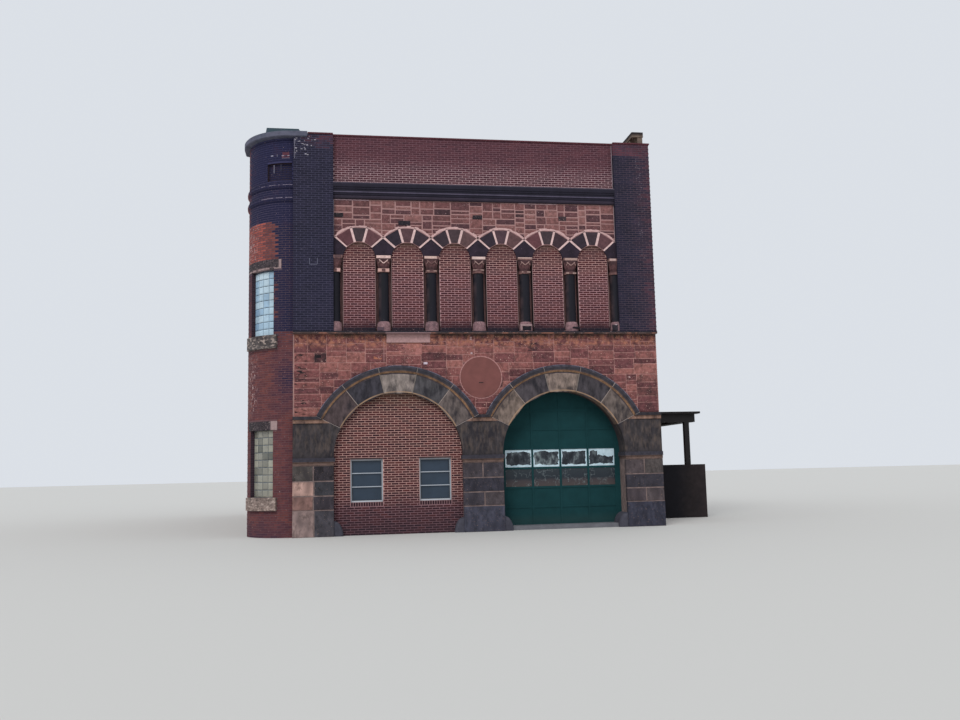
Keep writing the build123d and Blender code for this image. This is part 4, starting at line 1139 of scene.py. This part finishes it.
def model_glass_block():
    """A pressed glass block: a pillow with a flat middle."""
    piece = start_box((-0.1, 0, -0.1), (0.1, 0.05, 0.1))
    pick_faces(lambda normal: normal.y < -0.5)
    bpy.ops.mesh.inset(thickness=0.015)
    bpy.ops.transform.translate(value=(0, -0.008, 0))
    bpy.ops.mesh.inset(thickness=0.02)
    bpy.ops.transform.translate(value=(0, -0.004, 0))
    model = take_model(piece, 0.1, 0.1, 0.036)
    model["points"][:, 1] += 0.012
    return model


GLASS_BLOCK = model_glass_block()
block_batches = []
# The lower panel is painted grey olive and the upper one pale sky blue: painted reflections.
for low, webs in ((1.14, ["#5f5f56", "#89867b", "#a29f90"]), (5.85, ["#7f9db8", "#a9c4d6", "#c3d6df"])):
    spots = [((-63.6 + c * BLOCK_TURN) * ARC + 0.006, (-63.6 + (c + 1) * BLOCK_TURN) * ARC - 0.006,
              low + 0.008 + r * BLOCK_HEIGHT, low + (r + 1) * BLOCK_HEIGHT - 0.006, random.random(), 0.0)
             for c in range(4) for r in range(9)]
    block_batches.append(set_blocks(GLASS_BLOCK, spots, corner_wall, -0.108, 0.05, webs))
block_glass = masonry("pressed_glass_block", stain="#3b4a55", patch=0.12, roughness=0.15, relief=0.002,
                      grain=0.03, mottle=(0.3, 0.15))
block_glass.node_tree.nodes["Principled BSDF"].inputs["Specular IOR Level"].default_value = 0.6
build_blocks("glass_blocks", block_batches, block_glass)
dress(masonry("dark_block_joints", base="#4a5560", stain="#2f353d", patch=0.2), "corner_windows")

# %% [markdown]
# The side and rear walls are plain brick. Each is a flat wall with rows of windows, laid by the same
# functions, each from its own starting point and direction.
# %% Side and rear walls
SIDE_RED = ["#57302c", "#6c3a35", "#7a443c", "#8c5749"]
SIDE_COURSES = ("#57302c", "#6c3a35", "#8a7068")
SIDE_MIDDLE = COURSE * 86
DEPTH = 17.0
SIDE_PLACES = [3.2 + 3.0 * i for i in range(5)]
REAR_PLACES = [-(-0.7 + (i - 1.5) * 2.9) for i in range(4)]
LOWER_LEVELS = (0.77, 1.14, 3.08, 3.335)
UPPER_LEVELS = (5.46, 5.85, 7.83, 8.11)
left_map = flat_wall((-HALF_FRONT - CORNER_RADIUS, 0, 0), (0, -1))
right_map = flat_wall((HALF_FRONT, 0, 0), (0, 1))
rear_map = flat_wall((0, DEPTH, 0), (-1, 0))


def window_cuts(centres, levels, z0, z1):
    """Stretches that a row leaves out for sills, openings and lintels."""
    sill_low, sill_high, top, lintel_top = levels
    cuts = []
    for low, high, half in ((sill_low, sill_high, 0.625), (sill_high, top, 0.48), (top, lintel_top, 0.75)):
        if z1 > low + 0.004 and z0 < high - 0.004:
            cuts += [(c - half, c + half) for c in centres]
    return cuts


def side_soot(s, z):
    """Smoke under the parapet and damp at the foot."""
    return 0.35 * max(0.0, (z - 9.8) / 2.1) + 0.3 * max(0.0, 1 - z / 0.8) + 0.1 * random.random()


def wall_spots(start, end, lower, upper, low, high, skip):
    """Brick spots of a side wall between two levels. Over the cornice's foot, one stretch is skipped."""
    def spans(z0, z1):
        cuts = window_cuts(lower, LOWER_LEVELS, z0, z1) + window_cuts(upper, UPPER_LEVELS, z0, z1)
        return less([(start, end)], cuts + (skip if z1 > CORNICE_FOOT else []))
    return brick_rows(low, high, spans, side_soot)


side_brick = masonry("common_red_brick", stain="#2a262b", patch=0.2, mottle=(0.5, 0.2))
left_places = [-y for y in SIDE_PLACES]
jobs = (("left", left_map, -DEPTH, -CORNER_RADIUS, left_places, left_places, [(-1.809, -CORNER_RADIUS)]),
        ("right", right_map, 0.0, DEPTH, SIDE_PLACES[3:], SIDE_PLACES, []),
        ("rear", rear_map, -HALF_FRONT, HALF_FRONT + CORNER_RADIUS, REAR_PLACES, REAR_PLACES, []))
for label, wall, start, end, lower, upper, skip in jobs:
    for part, low, high in (("lower", 0.0, SIDE_MIDDLE), ("upper", SIDE_MIDDLE, WALL_TOP)):
        spots = wall_spots(start, end, lower, upper, low, high, skip)
        build_blocks(f"{label}_{part}_bricks", [set_blocks(BRICK, spots, wall, 0.005, 0.02, SIDE_RED)],
                     side_brick)
dress(mortar_bed("side_mortar_left", "#8a7068", SIDE_COURSES, LEFT), "left_side_wall")
dress(mortar_bed("side_mortar_right", "#8a7068", SIDE_COURSES, RIGHT), "right_side_wall")
dress(mortar_bed("side_mortar_rear", "#8a7068", SIDE_COURSES, BACK), "rear_wall")

# %% [markdown]
# The two windows in the filling have thin white frames with two bars across. All bars are the one modelled
# length with rounded edges, stretched to their places.
# %% Bars of the front windows
SILL, HEAD = 0.94, 2.18
JAMB = 0.036
bars = []
for a, b in WINDOW_SPANS:
    bars += [(a, a + JAMB, SILL, HEAD, "#b4bac2", 0.0), (b - JAMB, b, SILL, HEAD, "#b4bac2", 0.0)]
    bars += [(a + JAMB, b - JAMB, low, high, web, 0.0)
             for low, high, web in ((SILL, SILL + 0.045, "#c6cad0"), (HEAD - 0.04, HEAD, "#a9afb7"),
                                    (1.368, 1.395, "#b0b6bf"), (1.762, 1.788, "#b0b6bf"))]
white_metal = masonry("white_window_metal", stain="#6d727a", patch=0.08, roughness=0.4, relief=0.0,
                      mottle=(0.4, 0.05))
build_blocks("infill_window_bars", [set_blocks(BRICK, bars, front_wall(0.15), 0.016, 0.03)],
             white_metal)

# %% [markdown]
# The side and rear windows are plain, with a meeting rail and an upright bar. All glass is dark blue, since
# the rooms behind it are dark, and smooth, so it mirrors the sky.
# %% Bars of the side windows
side_bars = []
for wall, sign, lower, upper in ((left_map, -1, SIDE_PLACES, SIDE_PLACES),
                                 (right_map, 1, SIDE_PLACES[3:], SIDE_PLACES),
                                 (rear_map, 1, REAR_PLACES, REAR_PLACES)):
    spots = []
    for centres, (_, opening_foot, opening_top, _) in ((lower, LOWER_LEVELS), (upper, UPPER_LEVELS)):
        middle = (opening_foot + opening_top) / 2
        for c in (sign * centre for centre in centres):
            spots += [(c - 0.43, c + 0.43, middle - 0.03, middle + 0.03, "#8d9196", 0.0),
                      (c - 0.014, c + 0.014, opening_foot + 0.05, opening_top - 0.05, "#8d9196", 0.0)]
    side_bars.append(set_blocks(BRICK, spots, wall, -0.105, 0.05))
build_blocks("side_window_bars", side_bars, white_metal)
dress(masonry("dark_window_sash", base="#3b4047", stain="#2b2f35", patch=0.1, roughness=0.5),
      "infill_window_frames")
dress(masonry("grey_side_frames", base="#8a8e94", stain="#62666c", patch=0.1, roughness=0.5),
      "side_window_frames")
dress(masonry("dark_blue_glass", base="#33404f", stain="#28333f", patch=0.3, roughness=0.08, relief=0.0,
              mottle=(0.8, 0.12)), "infill_window_glass", "side_window_glass")

# %% [markdown]
# The overhead door is dark green enamel. The upper panes have ragged pale blue white rims of painted
# reflection, and most of the last pane's top is painted pale too; the lower panes are brown at the foot, a
# painted reflection of the street. The panes are equal, so one finish finds the place inside each of them by
# the distance between their columns.
# %% Panes of the engine door
PANE_START, PANE_PITCH = 0.739, 0.873
PANE_FOOT, PANE_TOP = 1.845, 2.37
RAIL_HEIGHT = 1.815


def from_ends(tree, value, length):
    """The distance in metres to the nearer end of a length, for a value that runs from nought to one."""
    rest = node(tree, "Math", (1.0, value), operation="SUBTRACT")
    nearer = node(tree, "Math", (value, rest), operation="MINIMUM")
    return node(tree, "Math", (nearer, length), operation="MULTIPLY")


def upper_panes_with_reflection(tree, place):
    """Ragged pale blue white rims of painted reflection round dark glass, and most of the last pane's top
    painted pale too.
    """
    x, z = (node(tree, "SeparateXYZ", (place,), axis) for axis in (0, 2))
    column = node(tree, "Math", (x, PANE_START), operation="SUBTRACT")
    column = node(tree, "Math", (column, PANE_PITCH), operation="DIVIDE")
    u = node(tree, "Math", (column,), operation="FRACT")
    v = node(tree, "MapRange", (z, PANE_FOOT, PANE_TOP, 0.0, 1.0))
    ends = (from_ends(tree, u, PANE_PITCH), from_ends(tree, v, PANE_TOP - PANE_FOOT))
    edge = node(tree, "Math", ends, operation="MINIMUM")
    ragged_width = node(tree, "Math", (clouds(tree, place, 0.16, 4.0), 0.16, -0.015), operation="MULTIPLY_ADD")
    rim = node(tree, "Math", (edge, ragged_width), operation="LESS_THAN")
    last = node(tree, "Math", (column, 3.35), operation="GREATER_THAN")
    high = node(tree, "Math", (clouds(tree, place, 0.3), 0.6, v), operation="MULTIPLY_ADD")
    high = node(tree, "Math", (high, 0.85), operation="GREATER_THAN")
    kept = node(tree, "Math", (last, high), operation="MULTIPLY")
    pale_reflection = node(tree, "Math", (rim, kept), operation="MAXIMUM")
    dark = node(tree, "ValToRGB", (clouds(tree, place, 0.2, 5.0, (1, 1, 0.6)),),
                stops=[(0.40, "#1b2027"), (0.54, "#383d44"), (0.66, "#7b8688")])
    white = node(tree, "ValToRGB", (clouds(tree, place, 0.2),), stops=[(0.3, "#b2cad6"), (0.7, "#d6eaf2")])
    return node(tree, "Mix", {0: pale_reflection, 6: dark, 7: white}, 2, data_type="RGBA")


def lower_panes_with_reflection(tree, place):
    """Dark glass, brown at its foot as a painted reflection of the street, with thin scratches."""
    height = node(tree, "SeparateXYZ", (place,), 2)
    street_reflection = node(tree, "Math", (clouds(tree, place, 0.2), 0.12, height), operation="MULTIPLY_ADD")
    street_reflection = node(tree, "MapRange", (street_reflection, 1.3, 1.9, 0.0, 1.0))
    paint = node(tree, "ValToRGB", (street_reflection,), stops=[(0.0, "#4b4240"), (0.3, "#413a3d"), (0.45, "#242b33"),
                                                   (1.0, "#2f373d")])
    away = node(tree, "Math", (clouds(tree, place, 0.35, 3.0), 0.5), operation="SUBTRACT")
    away = node(tree, "Math", (away,), operation="ABSOLUTE")
    line = node(tree, "MapRange", (away, 0.0, 0.014, 1.0, 0.0))
    scratch = node(tree, "Math", (line, clouds(tree, place, 0.05)), operation="MULTIPLY")
    return node(tree, "Mix", {0: scratch, 6: paint, 7: "#7d888a"}, 2, data_type="RGBA")


def pane_paint(tree, place):
    """The lower row of panes under the rail and the upper row over it."""
    height = node(tree, "SeparateXYZ", (place,), 2)
    row = node(tree, "Math", (height, RAIL_HEIGHT), operation="GREATER_THAN")
    return node(tree, "Mix", {0: row, 6: lower_panes_with_reflection(tree, place), 7: upper_panes_with_reflection(tree, place)}, 2,
                data_type="RGBA")


# The door glass carries painted reflections: pale in the upper panes, brown at the foot of the lower ones.
dress(masonry("door_glass_with_painted_reflection", base=pane_paint, stain="#2b3036", patch=0.05, roughness=0.25,
              relief=0.0, mottle=(0.3, 0.08), specks=("#7f8a8d", 0.74)), "engine_door_glass")
door_dust = ("#3a4a46", 0.25, between(2, 0.1, 0.35, 0.1))
door_paint = masonry("dark_green_enamel", base="#193d40", stain="#143032", patch=0.2, roughness=0.75,
                     relief=0.001, grain=0.03, mottle=(0.4, 0.12), over=(door_dust,))
door_paint.node_tree.nodes["Principled BSDF"].inputs["Specular IOR Level"].default_value = 0.1
dress(door_paint, "engine_door")
print("door panes are", PANE_PITCH, "m apart")

# %% [markdown]
# The cornice of the corner is sheet copper that has gone grey and green. Its cap has a straight front, so a
# box is modelled over the round one: its top is drawn in a little, and its edges are rounded as folded
# sheet is.
# %% Copper cornice
copper = masonry("weathered_copper", base="#5a5a6a", stain="#3b4656", patch=0.5, roughness=0.8,
                 relief=0.002, mottle=(0.2, 0.25),
                 over=(("#30494f", 0.8, patches(between(2, 11.99, 12.3), 0.3, 0.3, 0.5)),))
dress(copper, "corner_cornice", "cornice_cap")
cap_cover = start_box((-6.36, 0.14, 11.99), (-5.345, 0.62, 12.17))
pick_faces(lambda normal: normal.z > 0.5)
bpy.ops.transform.resize(value=(0.94, 0.98, 1))
bpy.ops.mesh.select_all(action="SELECT")
bpy.ops.mesh.bevel(offset=0.008, segments=2, affect="EDGES")
finish_piece(cap_cover, "cap_cover", copper)
print("cap cover faces:", len(cap_cover.data.polygons))

# %% [markdown]
# The rest of the solids have the right shape already, so they only need their finishes: clay coping, sooty
# chimney brick with a band of painted light under its cap, dark painted steel, concrete, worn boards and
# roof gravel.
# %% Finishes of the other solids
dress(masonry("red_clay_coping", base="#5a2f36", stain="#3b2229", patch=0.2, mottle=(0.2, 0.15)),
      "parapet_coping")
# The pale band under the cap is painted light on the cap's underside.
chimney_levels_and_lit_underside = by_axis(2, 11.97, 12.505, [(0, "#4f4440"), (0.7, "#7b6a5e"), (0.9, "#2c2526")])
dress(masonry("dark_chimney_brick", base=chimney_levels_and_lit_underside, stain="#2b2527", patch=0.2, mottle=(0.1, 0.3)),
      "chimney")
dress(masonry("dark_brown_paint", base="#191516", stain="#110f10", patch=0.3, roughness=0.6,
              mottle=(0.3, 0.2)), "side_canopy")
# The dock wall is near black, and browner towards its right end.
dock_paint = by_axis(0, 5.5, 8.4, [(0.0, "#0f0f15"), (0.62, "#111016"), (0.8, "#241e1f"),
                                   (1.0, "#2d2526")], size=0.4, wave=0.5)
dress(masonry("near_black_dock_wall", base=dock_paint, stain="#17171d", patch=0.2, mottle=(0.2, 0.3)),
      "side_dock")
dress(masonry("cast_concrete", base="#6d6d72", stain="#4d4d55", patch=0.3, mottle=(0.3, 0.15)),
      "floor_slab")
dress(masonry("worn_floor_boards", base="#6a523c", stain="#4e3b2b", patch=0.3, mottle=(0.15, 0.3),
              streak=(1, 8, 1)), "upper_floor")
dress(masonry("roof_gravel", base="#77736d", stain="#4f4d4a", patch=0.3, grain=0.02, relief=0.01,
              mottle=(0.03, 0.4)), "roof_deck")
print("finishes given:", len(bpy.data.materials))

# %% [markdown]
# A studio for a building: a pale floor and soft light from a wide sky, with one broad sun for shape.
# %% Floor and light
clear_selection()
bpy.ops.mesh.primitive_plane_add(size=400, location=(0, 0, -0.002))
floor = bpy.context.object
floor.name = "studio_floor"
floor_finish, _, floor_shader, _ = new_finish("pale_floor", 0.95)
floor_shader.inputs["Base Color"].default_value = colour("#cfcdc8")
floor.data.materials.append(floor_finish)
world = bpy.data.worlds.new("studio_sky")
world.use_nodes = True
world.node_tree.nodes["Background"].inputs["Color"].default_value = colour("#e6ebf2")
world.node_tree.nodes["Background"].inputs["Strength"].default_value = 0.9
bpy.context.scene.world = world
sun_data = bpy.data.lights.new("soft_sun", "SUN")
sun_data.energy = 1.2
sun_data.angle = math.radians(25)
sun = bpy.data.objects.new("soft_sun", sun_data)
sun.rotation_euler = (math.radians(48), 0, math.radians(-28))
bpy.context.scene.collection.objects.link(sun)
print("floor and light are in place")
